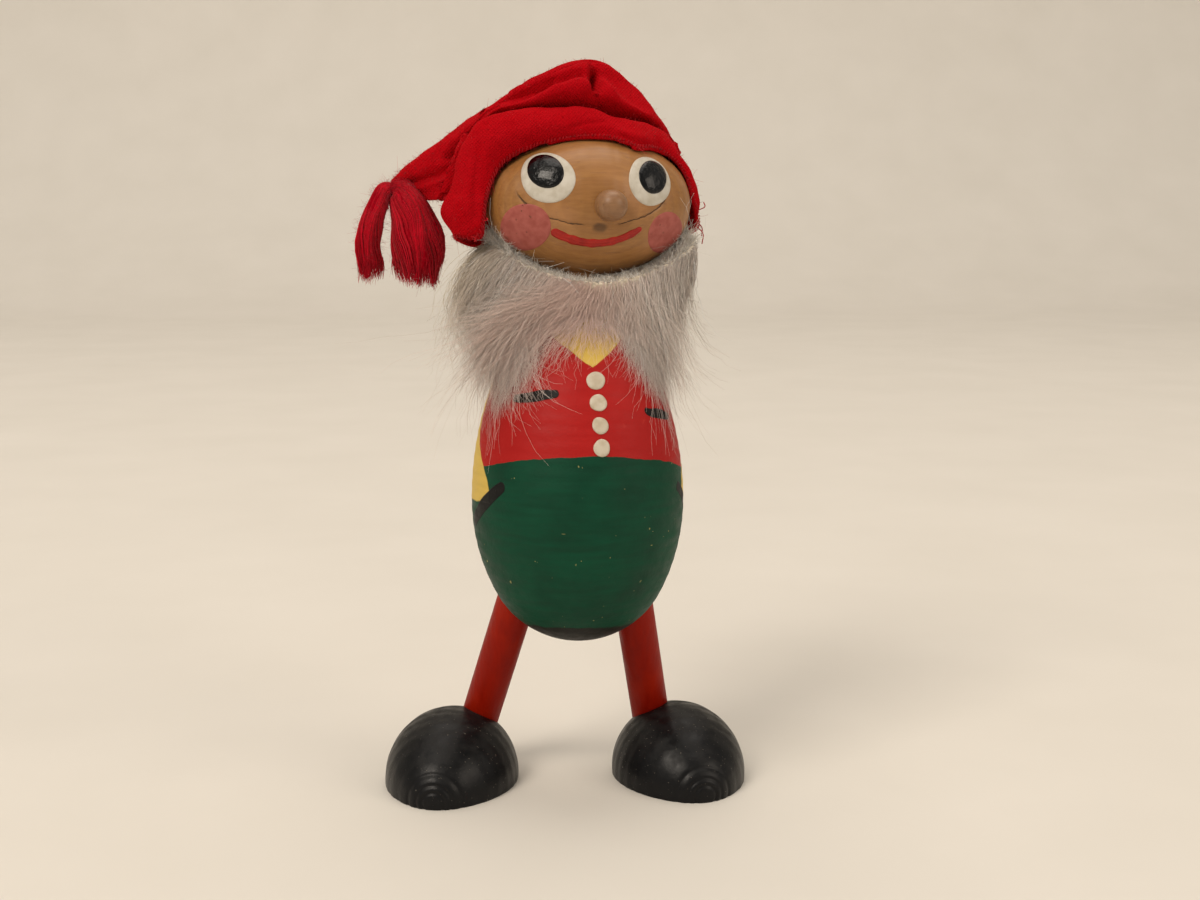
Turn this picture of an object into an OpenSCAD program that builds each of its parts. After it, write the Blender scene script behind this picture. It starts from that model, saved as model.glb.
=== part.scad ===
// Garden gnome: a small turned-wood gnome figure with a cloth hat, a tassel and a hide beard.
// Millimetres, +Z up, the face looks towards -Y, and +X is the gnome's own left.
// The origin is on the ground, at the middle of the whole figure's footprint.

/* [Body] */
// Height of the turned body egg, pole to pole
body_len = 68; // [56:0.5:82]
// Widest radius of the body
body_r = 21.2; // [17:0.1:26]
// Height of the widest place above the lower pole
body_widest = 28.5; // [25:0.5:33]
// Radius of the round lower end
body_low_r = 18.7; // [15:0.1:20]
// Radius of the round upper end
body_top_r = 15; // [11:0.1:16]
// Height of the body's middle above the ground
body_mid_z = 67.2; // [60:0.1:76]
// How far the body leans back, in degrees
body_lean = 6; // [0:0.5:10]

/* [Head] */
// Length of the head egg, ear to ear
head_len = 41.2; // [34:0.5:48]
// Widest radius of the head
head_r = 14.2; // [12:0.1:17]
// Where the head is widest, from its right end, as a share of its length
head_widest_share = 0.505; // [0.48:0.001:0.53]
// Radius of the right-ear end
head_right_r = 10; // [8:0.1:11.5]
// Radius of the left-ear end
head_left_r = 11; // [8:0.1:12]
// Gap between the body's upper end and the head, where the neck shows
neck_gap = 5; // [3.5:0.1:8]
// Sideways shift of the head from the body's axis
head_side = 2.6; // [-4:0.1:4]
// How far the face is turned to the gnome's left, in degrees
face_turn = 7.5; // [-20:0.5:20]

/* [Dowels and glue] */
// Diameter of the neck dowel
neck_d = 8; // [6:0.5:10]
// Depth of the neck dowel in the body and in the head
neck_deep = 10; // [7:0.5:12]
// Diameter of the nose peg
nose_d = 6; // [4:0.1:8]
// Sideways shift of the nose from the middle of the head
nose_side = 1.4; // [-2:0.1:2]
// How far the nose stands out of the face
nose_out = 4.9; // [3:0.1:8]
// Depth of the nose peg in the head
nose_deep = 7; // [4:0.1:8]
// Glue line around every dowel, on the radius
glue_line = 0.05; // [0.03:0.01:0.15]

/* [Legs] */
// Diameter of the leg dowels
leg_d = 8; // [6:0.5:10]
// Distance between the two legs' middles where they meet the body
leg_top_apart = 24.4; // [20:0.1:26]
// Distance between the two legs' middles at their lower ends
leg_low_apart = 40.2; // [36:0.1:44]
// How far behind the body's axis the legs meet the body
leg_top_back = 5; // [2:0.1:7]
// How far behind the feet's middles the legs enter the feet
leg_low_back = 8.9; // [6:0.1:10]
// Height of the lower end of each leg, inside the foot
leg_low_z = 4; // [3:0.1:6]
// Height at which the leg's distance at the body is taken
leg_top_z = 39; // [37:0.1:41]
// Extra leg length beyond that height, inside the body
leg_deep = 8; // [5:0.1:10]

/* [Feet] */
// Length of each half-egg foot
foot_len = 34; // [28:0.5:40]
// Widest radius of a foot
foot_r = 13.9; // [12:0.1:16.5]
// Distance of the widest place from the heel
foot_widest = 15.5; // [14:0.1:18]
// Radius of the heel end
heel_r = 12.2; // [10:0.1:13]
// Radius of the toe end
toe_r = 9; // [7:0.1:11]
// Height of the foot's turning axis above the flat sole
foot_axis_z = 1.2; // [0.8:0.1:4]
// Distance between the middles of the two feet
feet_apart = 48.5; // [42:0.1:58]
// How far behind the body's axis the middles of the feet stand
feet_back = 7.8; // [4:0.1:11]
// Sideways shift of the feet from the body's axis
feet_side = -2.15; // [-4:0.05:4]
// How far each toe turns out, in degrees
toe_out = 11.6; // [0:0.1:20]

/* [Hat] */
// Thickness of the hat's cloth with its nap
hat_wall = 1.4; // [1:0.1:2]
// Gap between the cloth and the head
hat_gap = 0.4; // [0.3:0.05:1]
// Height of the crown's top above the middle of the head
hat_rise = 28; // [24:0.5:36]
// Radius of the crown's rounded top
crown_r = 6; // [4:0.1:8]
// Half of the distance between the two ear flaps
flap_half = 23.1; // [20:0.1:26]
// Depth of the ear flaps below the middle of the head
flap_drop = 6.8; // [4:0.1:9]
// How far the front hem lies in front of the head's long axis
hem_front = 4.6; // [2:0.1:6]
// How far the folded-over tail reaches to the side of the head's middle
tail_reach = 38.1; // [34:0.1:44]
// Radius of the tail halfway along
tail_r = 4.8; // [3:0.1:6]
// Radius of the tail's tip
tail_tip_r = 1.8; // [1.2:0.1:2.4]

/* [Tassel] */
// Length of the two yarn bundles
tassel_len = 17; // [13:0.5:22]
// Radius of the outer bundle
tassel_outer_r = 2.9; // [2:0.1:4]
// Radius of the inner bundle
tassel_inner_r = 4.1; // [2.5:0.1:4.2]
// Lean of the outer bundle away from the hat, in degrees
tassel_outer_lean = 9; // [6:0.5:14]
// Lean of the inner bundle towards the hat, in degrees
tassel_inner_lean = 18.5; // [12:0.5:21]
// Radius of the thread knot that holds the tassel
knot_r = 0.8; // [0.6:0.05:1]

/* [Beard] */
// Thickness of the hide that the hair grows from
hide_t = 1.5; // [1:0.1:2.5]
// Radius of the bend in which the hide lies round the neck, seen from above
hide_bend = 26.6; // [24:0.1:32]
// Radius of the curved upper edge of the hide, seen from the front
hide_edge = 31.3; // [28:0.1:36]
// Depth of the hide below its upper edge
hide_deep = 7; // [5:0.5:9]
// Height of the beard's lowest full hair above the ground
beard_low_z = 91; // [84:0.5:95]
// Fullness of the beard at its sides
beard_puff = 6; // [4:0.1:7]

/* [Paint] */
// Thickness of a dried drop of paint
dab_t = 0.35; // [0.2:0.01:0.5]
// Radius of the eye whites
white_r = 5; // [4:0.1:5.5]
// Radius of the pupils
pupil_r = 3.2; // [2:0.1:3.6]
// Radius of the cheeks
cheek_r = 4.6; // [3:0.1:5]
// Distance between the middles of the eyes
eyes_apart = 20; // [17:0.1:21]
// Height of the eyes above the middle of the head
eyes_up = 5.1; // [3:0.1:6]
// Width of the mouth's brush stroke
mouth_w = 1.5; // [1:0.1:2.5]
// Diameter of a painted button
button_d = 3.3; // [2.4:0.1:4]
// Distance from one painted button to the next
button_step = 4.2; // [3.8:0.1:5]
// How far the front of the paint is turned to the gnome's left, in degrees
paint_turn = 9; // [-15:0.5:15]

/* [Hidden] */
$fn = 96;
far = 400;
eps = 0.05;
head_widest = head_widest_share * head_len;
body_top_y = (body_len / 2) * sin(body_lean);
head_y = (body_len / 2 + neck_gap + head_r) * sin(body_lean);
head_z = body_mid_z + (body_len / 2 + neck_gap + head_r) * cos(body_lean);
leg_low_y = feet_back + leg_low_back;
sole_z = 0;
crown_z = hat_rise - crown_r;
tip_x = -tail_reach;
tip_y = 3.9;
tip_z = 4.7;
knot_x = head_side - tail_reach - 1;
knot_y = head_y + tip_y;
knot_z = head_z + tip_z - tail_tip_r - 0.3 - knot_r;
bundle_side = 1.6;
mouth_arc = max(side_arc(head_widest, head_right_r), side_arc(head_len - head_widest, head_left_r));
bundle_drop = 1.2;
face_low_z = head_z - head_r - 0.7;
hide_front_y = head_y - 12.6;
figure_left = feet_side + feet_apart / 2 + 0.99 * foot_r;
figure_right = knot_x - bundle_side - tassel_outer_r
    - (tassel_len - tassel_outer_r) * sin(tassel_outer_lean);
figure_back = feet_back + foot_len / 2;
figure_front = -body_r;
mid_x = (figure_left + figure_right) / 2;
mid_y = (figure_back + figure_front) / 2;

// Radius of the arc from a round end of radius r to the head's widest place, w from that end.
function side_arc(w, r) = (head_r * head_r + pow(w - r, 2) - r * r) / (2 * (head_r - r));

// Half of the outline of an egg with its blunt pole at the origin, made of four arcs.
module egg_half(l, r, w, a, b, g = 0) {
    big = 4 * l;
    side_a = (r * r + pow(w - a, 2) - a * a) / (2 * (r - a));
    side_b = (r * r + pow(l - b - w, 2) - b * b) / (2 * (r - b));
    low = a + (a + g) * (a - w) / (side_a - a);
    high = l - b + (b + g) * (l - b - w) / (side_b - b);
    core = 0.5 * min(a, b);
    intersection() {
        translate([0, a]) circle(r = a + g);
        translate([0, a - big / 2]) square(big);
    }
    intersection() {
        translate([r - side_a, w]) circle(r = side_a + g);
        translate([0, low]) square([big, w - low]);
    }
    intersection() {
        translate([r - side_b, w]) circle(r = side_b + g);
        translate([0, w]) square([big, high - w]);
    }
    intersection() {
        translate([0, l - b]) circle(r = b + g);
        translate([0, l - b - big / 2]) square(big);
    }
    translate([0, a]) square([core, l - a - b]);
}

module egg(l, r, w, a, b, g = 0) rotate_extrude() egg_half(l, r, w, a, b, g);

// Every piece is drawn about the body's axis, and this puts the origin under the figure's middle.
module stand() translate([-mid_x, -mid_y, 0]) children();

module in_body() translate([0, 0, body_mid_z]) rotate([-body_lean, 0, 0])
    translate([0, 0, -body_len / 2]) children();

module in_head() translate([head_side, head_y, head_z]) rotate([0, 0, face_turn]) children();

module body_egg(g = 0) in_body() rotate([0, 0, 90]) egg(body_len, body_r, body_widest, body_low_r, body_top_r, g);

module head_egg(g = 0) in_head() translate([-head_len / 2, 0, 0]) rotate([0, 90, 0]) rotate([0, 0, 90])
    egg(head_len, head_r, head_widest, head_right_r, head_left_r, g);

module neck_rod(r, extra = 0) in_body()
    translate([0, 0, body_len - neck_deep - extra])
        cylinder(r = r, h = neck_gap + 2 * neck_deep + 2 * extra);

// A rod from the hole in a foot up into the body; side is 1 for the gnome's left.
module leg_rod(side, r, extra = 0) {
    top = [side * leg_top_apart / 2 + feet_side + 1.75, leg_top_back, leg_top_z];
    low = [side * leg_low_apart / 2 + feet_side - 0.15, leg_low_y, leg_low_z];
    v = top - low;
    run = norm(v);
    translate(low) rotate([0, acos(v[2] / run), atan2(v[1], v[0])])
        translate([0, 0, -extra]) cylinder(r = r, h = run + leg_deep + 2 * extra);
}

module in_foot(side) translate([feet_side + side * feet_apart / 2, feet_back, sole_z])
    rotate([0, 0, side * toe_out]) children();

module foot(side) difference() {
    in_foot(side) intersection() {
        translate([0, foot_len / 2, foot_axis_z]) rotate([90, 0, 0]) rotate([0, 0, -90])
            egg(foot_len, foot_r, foot_widest, heel_r, toe_r);
        translate([-far / 2, -far / 2, 0]) cube([far, far, far / 2]);
    }
    leg_rod(side, leg_d / 2 + glue_line, 0.3);
}

module body() color("#8d1b16") stand() difference() {
    body_egg();
    neck_rod(neck_d / 2 + glue_line, 0.3);
    leg_rod(1, leg_d / 2 + glue_line, 0.3);
    leg_rod(-1, leg_d / 2 + glue_line, 0.3);
}

module nose_rod(r, extra = 0) in_head()
    translate([nose_side, -head_r - nose_out, 0]) rotate([-90, 0, 0])
        cylinder(r = r, h = nose_out + nose_deep + extra);

module head() color("#d9b98a") stand() difference() {
    head_egg();
    neck_rod(neck_d / 2 + glue_line, 0.3);
    nose_rod(nose_d / 2 + glue_line, 0.3);
}

module neck_dowel() color("#d2b184") stand() neck_rod(neck_d / 2);

// The nose is a dowel with a rounded end.
module nose_peg() color("#cfa878") stand() in_head()
    translate([nose_side, -head_r - nose_out, 0]) rotate([-90, 0, 0]) union() {
        translate([0, 0, nose_d / 2]) cylinder(d = nose_d, h = nose_out + nose_deep - nose_d / 2);
        translate([0, 0, nose_d / 2]) sphere(d = nose_d);
    }

module leg_left() color("#c8401a") stand() leg_rod(1, leg_d / 2);
module leg_right() color("#c8401a") stand() leg_rod(-1, leg_d / 2);
module foot_left() color("#1b1b1c") stand() foot(1);
module foot_right() color("#1b1b1c") stand() foot(-1);

// A thin dab of paint on the face, cut by its outline from a layer that follows the head.
module face_layer(t, lift = eps) difference() {
    intersection() {
        head_egg(lift + t);
        in_head() rotate([90, 0, 0]) linear_extrude(far) children();
    }
    head_egg(lift);
}

module eye_whites() color("#f1efe6") stand() for (s = [-1, 1])
    face_layer(dab_t) translate([s * eyes_apart / 2 + 0.2, eyes_up - 0.4 * s]) circle(r = white_r);

module pupils() color("#0c0b0c") stand() for (s = [-1, 1]) difference() {
    in_head() translate([s * eyes_apart / 2 + 0.3, 0, eyes_up + 0.8])
        rotate([90, 0, 0]) cylinder(r = pupil_r, h = far);
    head_egg(2 * eps + dab_t);
    difference() {
        in_head() translate([0, 0, -far / 2]) cylinder(r = far * 2, h = far);
        head_egg(2 * eps + 3 * dab_t);
    }
}

module cheeks() color("#e88f86") stand() {
    face_layer(dab_t / 2) translate([-14.1, -4.9]) circle(r = cheek_r);
    face_layer(dab_t / 2) translate([13.6, -5.2]) circle(r = cheek_r * 0.85);
}

// Between the cheeks one arc follows the head closely enough, and never runs into it.
module mouth_band() in_head() translate([head_widest - head_len / 2, 0, 0])
    rotate([0, 90, 0]) rotate([0, 0, 90]) rotate_extrude() intersection() {
        translate([head_r - mouth_arc, 0]) difference() {
            circle(r = mouth_arc + eps + dab_t);
            circle(r = mouth_arc + eps);
        }
        translate([head_r / 2, -head_r]) square([head_r, 2 * head_r]);
    }

module mouth() color("#c22a1c") stand() intersection() {
    mouth_band();
    in_head() rotate([90, 0, 0]) linear_extrude(far) intersection() {
        translate([-0.85, 8.5]) difference() {
            circle(r = 15.3 + mouth_w / 2);
            circle(r = 15.3 - mouth_w / 2);
        }
        translate([-9.2, -20]) square([17.6, 16]);
    }
}

module buttons() color("#ece6d8") stand() for (k = [0:3]) difference() {
    intersection() {
        body_egg(eps + dab_t);
        in_body() rotate([0, 0, paint_turn])
            translate([0, 0, body_widest + 11.4 + k * button_step])
            rotate([90, 0, 0]) cylinder(d = button_d, h = far);
    }
    body_egg(eps);
}

// Everything behind the bent hide, seen from above.
module behind_hide(g = 0) translate([head_side, hide_front_y + hide_bend, 0])
    cylinder(r = hide_bend + g, h = far);

// Everything above the hide's curved edge, seen from the front.
module above_edge(g = 0) translate([head_side + 1.2, far / 2, face_low_z + hide_edge])
    rotate([90, 0, 0]) cylinder(r = hide_edge + g, h = far);

module beard_hide() color("#d8cfc0") stand() difference() {
    intersection() {
        behind_hide();
        above_edge(hide_deep);
        translate([head_side - 19.8, -far / 2, 0]) cube([41, far / 2 + head_y - 3.8, face_low_z + 6]);
    }
    behind_hide(-hide_t);
    above_edge();
    body_egg(0.3);
    head_egg(0.3);
}

// The hair is a soft smooth shell, so what it is cut by is drawn as smooth facets too.
module beard_fur() color("#b9b1ac") stand() difference() {
    difference() {
        hull() {
            translate([-21.7, -7, 103.5]) sphere(r = beard_puff, $fn = 32);
            translate([-18, -12, 95]) sphere(r = 5, $fn = 32);
            translate([-2, -14.5, beard_low_z + 4]) sphere(r = 4, $fn = 32);
            translate([14.5, -11, 92]) sphere(r = 4.5, $fn = 32);
            translate([19.5, -6, 105.5]) sphere(r = beard_puff - 0.8, $fn = 32);
            translate([2, -11, 102]) sphere(r = 4, $fn = 32);
        }
        hull() body_egg(0.5 + dab_t, $fn = 64);
    }
    hull() behind_hide(0.35, $fn = 90);
    hull() above_edge(0.45, $fn = 90);
}

module crown(g) in_head() hull() {
    translate([-head_len / 2, 0, 0]) rotate([0, 90, 0])
        egg(head_len, head_r, head_widest, head_right_r, head_left_r, hat_gap + dab_t + g, $fn = 40);
    translate([0, 2, crown_z]) sphere(r = crown_r - hat_wall + g, $fn = 40);
    for (s = [-1, 1]) translate([s * flap_half - 0.8, 0, -flap_drop + 1])
        sphere(r = 0.8 + g, $fn = 24);
}

module tail() translate([head_side, head_y, head_z]) {
    hull() {
        translate([-3, 2.2, crown_z - 0.5]) sphere(r = crown_r - 0.5, $fn = 32);
        translate([-27.5, 5.3, 9.4]) sphere(r = tail_r, $fn = 32);
    }
    hull() {
        translate([-27.5, 5.3, 9.4]) sphere(r = tail_r, $fn = 32);
        translate([tip_x, tip_y, tip_z]) sphere(r = tail_tip_r, $fn = 32);
    }
}

module hat() color("#b0151a") stand() union() {
    difference() {
        crown(hat_wall);
        crown(0);
        in_head() translate([-far / 2, -far - hem_front, -far / 2]) cube(far);
        in_head() translate([0, -hem_front, -flap_drop]) rotate([-16, 0, 0])
            translate([-far / 2, -far / 2, -far]) cube(far);
    }
    difference() {
        tail();
        crown(hat_wall / 2);
    }
}

module at_knot() translate([knot_x, knot_y, knot_z]) children();

module tassel_tie() color("#7d0f18") stand() at_knot() sphere(r = knot_r);

// A hanging yarn bundle: narrow at the knot and full at its cut ends.
module bundle(side, lean, r) at_knot() translate([side * bundle_side, 0, -bundle_drop])
    rotate([180, side * -lean, 0]) egg(tassel_len, r, tassel_len * 0.62, 1.1, r * 0.86);

module tassel_outer() color("#8f1420") stand() bundle(-1, tassel_outer_lean, tassel_outer_r);
module tassel_inner() color("#9a1824") stand() bundle(1, tassel_inner_lean, tassel_inner_r);

body();
head();
neck_dowel();
nose_peg();
leg_left();
leg_right();
foot_left();
foot_right();
eye_whites();
pupils();
cheeks();
mouth();
buttons();
beard_hide();
beard_fur();
hat();
tassel_tie();
tassel_outer();
tassel_inner();
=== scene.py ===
import math

import bpy
import numpy as np
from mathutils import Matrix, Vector, noise


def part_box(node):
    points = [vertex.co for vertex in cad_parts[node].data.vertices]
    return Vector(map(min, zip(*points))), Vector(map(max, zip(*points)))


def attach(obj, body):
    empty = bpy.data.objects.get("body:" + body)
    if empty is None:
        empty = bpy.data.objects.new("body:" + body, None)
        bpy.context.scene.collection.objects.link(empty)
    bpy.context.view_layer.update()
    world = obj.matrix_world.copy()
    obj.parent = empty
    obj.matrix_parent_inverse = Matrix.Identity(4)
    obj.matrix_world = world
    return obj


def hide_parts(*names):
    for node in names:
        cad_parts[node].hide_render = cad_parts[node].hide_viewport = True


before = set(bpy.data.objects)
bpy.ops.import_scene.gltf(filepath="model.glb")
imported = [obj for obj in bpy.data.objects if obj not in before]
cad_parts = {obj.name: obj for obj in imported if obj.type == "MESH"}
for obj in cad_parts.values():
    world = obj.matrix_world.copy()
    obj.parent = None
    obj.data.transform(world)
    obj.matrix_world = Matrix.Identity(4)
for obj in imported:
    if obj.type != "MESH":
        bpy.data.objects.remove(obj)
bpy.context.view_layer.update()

MM = 0.001
# from the body's axis to the frame's origin
STAND = np.array([500 * (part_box("body")[0][0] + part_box("body")[1][0]), -1.8, 0.0])
rng = np.random.default_rng(7)


# ---------------------------------------------------------------- turned shapes

class Egg:
    """A turned egg: four arcs, with its blunt pole at height 0."""

    def __init__(self, length, radius, widest, low, high):
        self.length, self.radius, self.widest, self.low, self.high = length, radius, widest, low, high
        self.side_low = (radius**2 + (widest - low) ** 2 - low**2) / (2 * (radius - low))
        rest = length - high - widest
        self.side_high = (radius**2 + rest**2 - high**2) / (2 * (radius - high))
        self.meet_low = low + low * (low - widest) / (self.side_low - low)
        self.meet_high = length - high + high * rest / (self.side_high - high)

    def at(self, h):
        """The radius at height h."""
        h = np.clip(h, 0, self.length)
        root = lambda v: np.sqrt(np.clip(v, 0, None))
        low_end = root(self.low**2 - (h - self.low) ** 2)
        low_side = self.radius - self.side_low + root(self.side_low**2 - (h - self.widest) ** 2)
        high_side = self.radius - self.side_high + root(self.side_high**2 - (h - self.widest) ** 2)
        high_end = root(self.high**2 - (h - self.length + self.high) ** 2)
        return np.where(h < self.meet_low, low_end,
                        np.where(h < self.widest, low_side,
                                 np.where(h < self.meet_high, high_side, high_end)))


BODY = Egg(68, 21.2, 28.5, 18.7, 15)
HEAD = Egg(41.2, 14.2, 20.8, 10, 11)
FOOT = Egg(34, 13.9, 15.5, 12.2, 9)
LEAN = math.radians(6)
FACE_TURN = math.radians(7.5)
BODY_MID = np.array([0.0, 0.0, 67.2])
HEAD_MID = np.array([2.6, 53.2 * math.sin(LEAN), 67.2 + 53.2 * math.cos(LEAN)])


def body_place(p):
    """From the body's own axes (height from its lower pole) to the figure's."""
    p = np.asarray(p, float)
    x, y, h = p[..., 0], p[..., 1], p[..., 2] - BODY.length / 2
    c, s = math.cos(LEAN), math.sin(LEAN)
    return np.stack([x, y * c + h * s, -y * s + h * c], -1) + BODY_MID


def body_local(p):
    q = np.asarray(p, float) - BODY_MID
    c, s = math.cos(LEAN), math.sin(LEAN)
    return np.stack([q[..., 0], q[..., 1] * c - q[..., 2] * s,
                     q[..., 1] * s + q[..., 2] * c + BODY.length / 2], -1)


def head_place(p):
    p = np.asarray(p, float)
    c, s = math.cos(FACE_TURN), math.sin(FACE_TURN)
    return np.stack([p[..., 0] * c - p[..., 1] * s, p[..., 0] * s + p[..., 1] * c, p[..., 2]],
            -1) + HEAD_MID


def head_local(p):
    q = np.asarray(p, float) - HEAD_MID
    c, s = math.cos(FACE_TURN), math.sin(FACE_TURN)
    return np.stack([q[..., 0] * c + q[..., 1] * s, -q[..., 0] * s + q[..., 1] * c, q[..., 2]], -1)


def on_face(s, z, lift=0.0):
    """A point of the face: s to the gnome's left, z up from the head's middle."""
    s, z = np.broadcast_arrays(np.asarray(s, float), np.asarray(z, float))
    def skin(s, z):
        r = HEAD.at(s + HEAD.length / 2)
        return np.stack([s, -np.sqrt(np.clip(r * r - z * z, 0.04, None)), z], -1)
    e = 0.02
    n = np.cross(skin(s + e, z) - skin(s - e, z), skin(s, z + e) - skin(s, z - e))
    n /= np.linalg.norm(n, axis=-1, keepdims=True)
    return head_place(skin(s, z) + n * np.asarray(lift, float)[..., None])


def on_body(az, h, lift=0.0):
    """A point of the body: az in degrees from the front to the gnome's left, h from the lower pole."""
    az, h = np.broadcast_arrays(np.radians(np.asarray(az, float)), np.asarray(h, float))
    e = 0.02
    slope = (BODY.at(h + e) - BODY.at(h - e)) / (2 * e)
    out = np.stack([np.sin(az), -np.cos(az), -slope], -1)
    out /= np.linalg.norm(out, axis=-1, keepdims=True)
    r = BODY.at(h)
    skin = np.stack([r * np.sin(az), -r * np.cos(az), h], -1)
    return body_place(skin + out * np.asarray(lift, float)[..., None])


# ---------------------------------------------------------------- mesh making

def new_mesh(name, points, faces, uv=None, shades=None):
    """A smooth mesh object from points in millimetres about the body's axis; faces is a list or array.
    uv has one pair and shades one RGB for each corner of each face."""
    mesh = bpy.data.meshes.new(name)
    mesh.from_pydata(((np.asarray(points) + STAND) * MM).tolist(), [], [list(f) for f in faces])
    mesh.polygons.foreach_set("use_smooth", np.ones(len(mesh.polygons), bool))
    if uv is not None:
        mesh.uv_layers.new(name="map").data.foreach_set("uv", np.asarray(uv, np.float32).ravel())
    if shades is not None:
        rgba = np.concatenate([np.asarray(shades, np.float32),
                               np.ones((len(shades), 1), np.float32)], 1)
        mesh.color_attributes.new("shade", "FLOAT_COLOR", "CORNER").data.foreach_set("color",
                rgba.ravel())
    mesh.validate()
    mesh.update()
    piece = bpy.data.objects.new(name, mesh)
    bpy.context.scene.collection.objects.link(piece)
    return piece


def outward(piece):
    """Turns the faces of a closed mesh outwards."""
    import bmesh
    b = bmesh.new()
    b.from_mesh(piece.data)
    bmesh.ops.recalc_face_normals(b, faces=b.faces)
    b.to_mesh(piece.data)
    b.free()
    return piece


def settle(piece, material, body, slot, *nodes):
    """Gives a finished piece its material, the body that it rides on and the nodes it stands for."""
    piece.data.materials.clear()
    piece.data.materials.append(material)
    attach(piece, body)
    if nodes:
        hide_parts(*nodes)
    return piece


def lathe(name, rows, place, u0=0.0):
    """A closed surface through rows of points round an axis; rows is (n, m, 3), each a full turn.
    The first and last rows are closed with a point each."""
    n, m, _ = rows.shape
    points = np.concatenate([rows.reshape(-1, 3), rows[:1].mean(1), rows[-1:].mean(1)])
    i, j = np.meshgrid(np.arange(n - 1), np.arange(m), indexing="ij")
    k = (j + 1) % m
    quads = np.stack([i * m + j, i * m + k, (i + 1) * m + k, (i + 1) * m + j], -1).reshape(-1, 4)
    uv = np.stack([np.stack([(j + a) / m + u0, (i + b) / (n - 1.0)], -1)
                   for a, b in ((0, 0), (1, 0), (1, 1), (0, 1))], 2).reshape(-1, 2)
    j = np.arange(m)
    k = (j + 1) % m
    low = np.stack([np.full(m, n * m), k, j], -1)
    high = np.stack([np.full(m, n * m + 1), (n - 1) * m + j, (n - 1) * m + k], -1)
    uv_low = np.stack([np.stack([(j + .5) / m + u0, 0 * j], -1), np.stack([(j + 1) / m + u0, 0 * j], -1),
                       np.stack([j / m + u0, 0 * j], -1)], 1).reshape(-1, 2)
    uv_high = np.stack([np.stack([(j + .5) / m + u0, 1 + 0 * j], -1),
            np.stack([j / m + u0, 1 + 0 * j], -1),
                        np.stack([(j + 1) / m + u0, 1 + 0 * j], -1)], 1).reshape(-1, 2)
    faces = quads.tolist() + low.tolist() + high.tolist()
    return outward(new_mesh(name, place(points), faces, np.concatenate([uv, uv_low, uv_high])))


def stations(egg, n):
    """Heights from pole to pole, closer together at the round ends."""
    t = np.linspace(0, 1, n)
    return egg.length * (0.5 - 0.5 * np.cos(math.pi * (0.012 + 0.976 * t)))


def wander(p, scale, seed=0.0):
    """Smooth noise from -1 to 1 at each point."""
    flat = np.asarray(p, float).reshape(-1, 3) * scale
    out = [noise.noise(Vector((x + seed, y - seed, z + 2 * seed))) for x, y, z in flat]
    return np.array(out).reshape(np.asarray(p).shape[:-1])


# ---------------------------------------------------------------- materials

def colour(code):
    """sRGB hex to the linear values that a shader takes."""
    c = np.array([int(code[i:i + 2], 16) for i in (1, 3, 5)]) / 255
    c = np.where(c > 0.04045, ((c + 0.055) / 1.055) ** 2.4, c / 12.92)
    return (*c.tolist(), 1.0)


def add(tree, kind, inputs=(), **settings):
    """Adds one node. inputs maps a socket's name or number to a value or to another node's output."""
    made = tree.nodes.new(kind)
    for key, value in settings.items():
        setattr(made, key, value)
    for key, value in (inputs.items() if isinstance(inputs, dict) else enumerate(inputs)):
        if value is None:
            continue
        if isinstance(value, bpy.types.NodeSocket):
            tree.links.new(value, made.inputs[key])
        else:
            made.inputs[key].default_value = value
    return made


# settings for a MapRange node that eases in and out, and for a Mix node of colours (0 share, 6 and 7)
SMOOTH = {"interpolation_type": "SMOOTHSTEP"}
BLEND = {"data_type": "RGBA", "out": 2}


class Finish:
    """A material under construction: its tree, its shader and its links."""

    def __init__(self, name, base, **shader):
        self.material = bpy.data.materials.new(name)
        self.material.use_nodes = True
        self.tree = self.material.node_tree
        self.shader = self.tree.nodes["Principled BSDF"]
        self.shader.inputs["Base Color"].default_value = colour(base)
        for key, value in shader.items():
            self.shader.inputs[key.replace("_", " ")].default_value = value
        self.place = add(self.tree, "ShaderNodeTexCoord").outputs["Object"]

    def node(self, kind, *inputs, out=0, **settings):
        """Adds a node to this material and gives its output. Hex strings are colours."""
        inputs = inputs[0] if inputs and isinstance(inputs[0], dict) else dict(enumerate(inputs))
        inputs = {key: colour(v) if isinstance(v, str) else v for key, v in inputs.items()}
        return add(self.tree, "ShaderNode" + kind, inputs, **settings).outputs[out]

    def grain(self, size_mm, detail=3.0, vector=None, stretch=None, rough=0.5):
        """Noise from 0 to 1 whose features are about size_mm across."""
        vector = self.place if vector is None else vector
        if stretch:
            vector = add(self.tree, "ShaderNodeMapping", {0: vector, "Scale": stretch}).outputs[0]
        return add(self.tree, "ShaderNodeTexNoise",
                   {"Vector": vector, "Scale": 1000.0 / size_mm, "Detail": detail,
                    "Roughness": rough}).outputs["Fac"]

    def paint(self, value):
        self.tree.links.new(value, self.shader.inputs["Base Color"])

    def roughness(self, value):
        self.tree.links.new(value, self.shader.inputs["Roughness"])

    def relief(self, *layers):
        """Bump from pairs of height in millimetres and a 0 to 1 pattern."""
        normal = None
        for height, pattern in layers:
            normal = add(self.tree, "ShaderNodeBump",
                         {"Strength": 1.0, "Distance": height * MM, "Height": pattern,
                          "Normal": normal}).outputs[0]
        self.tree.links.new(normal, self.shader.inputs["Normal"])


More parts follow.
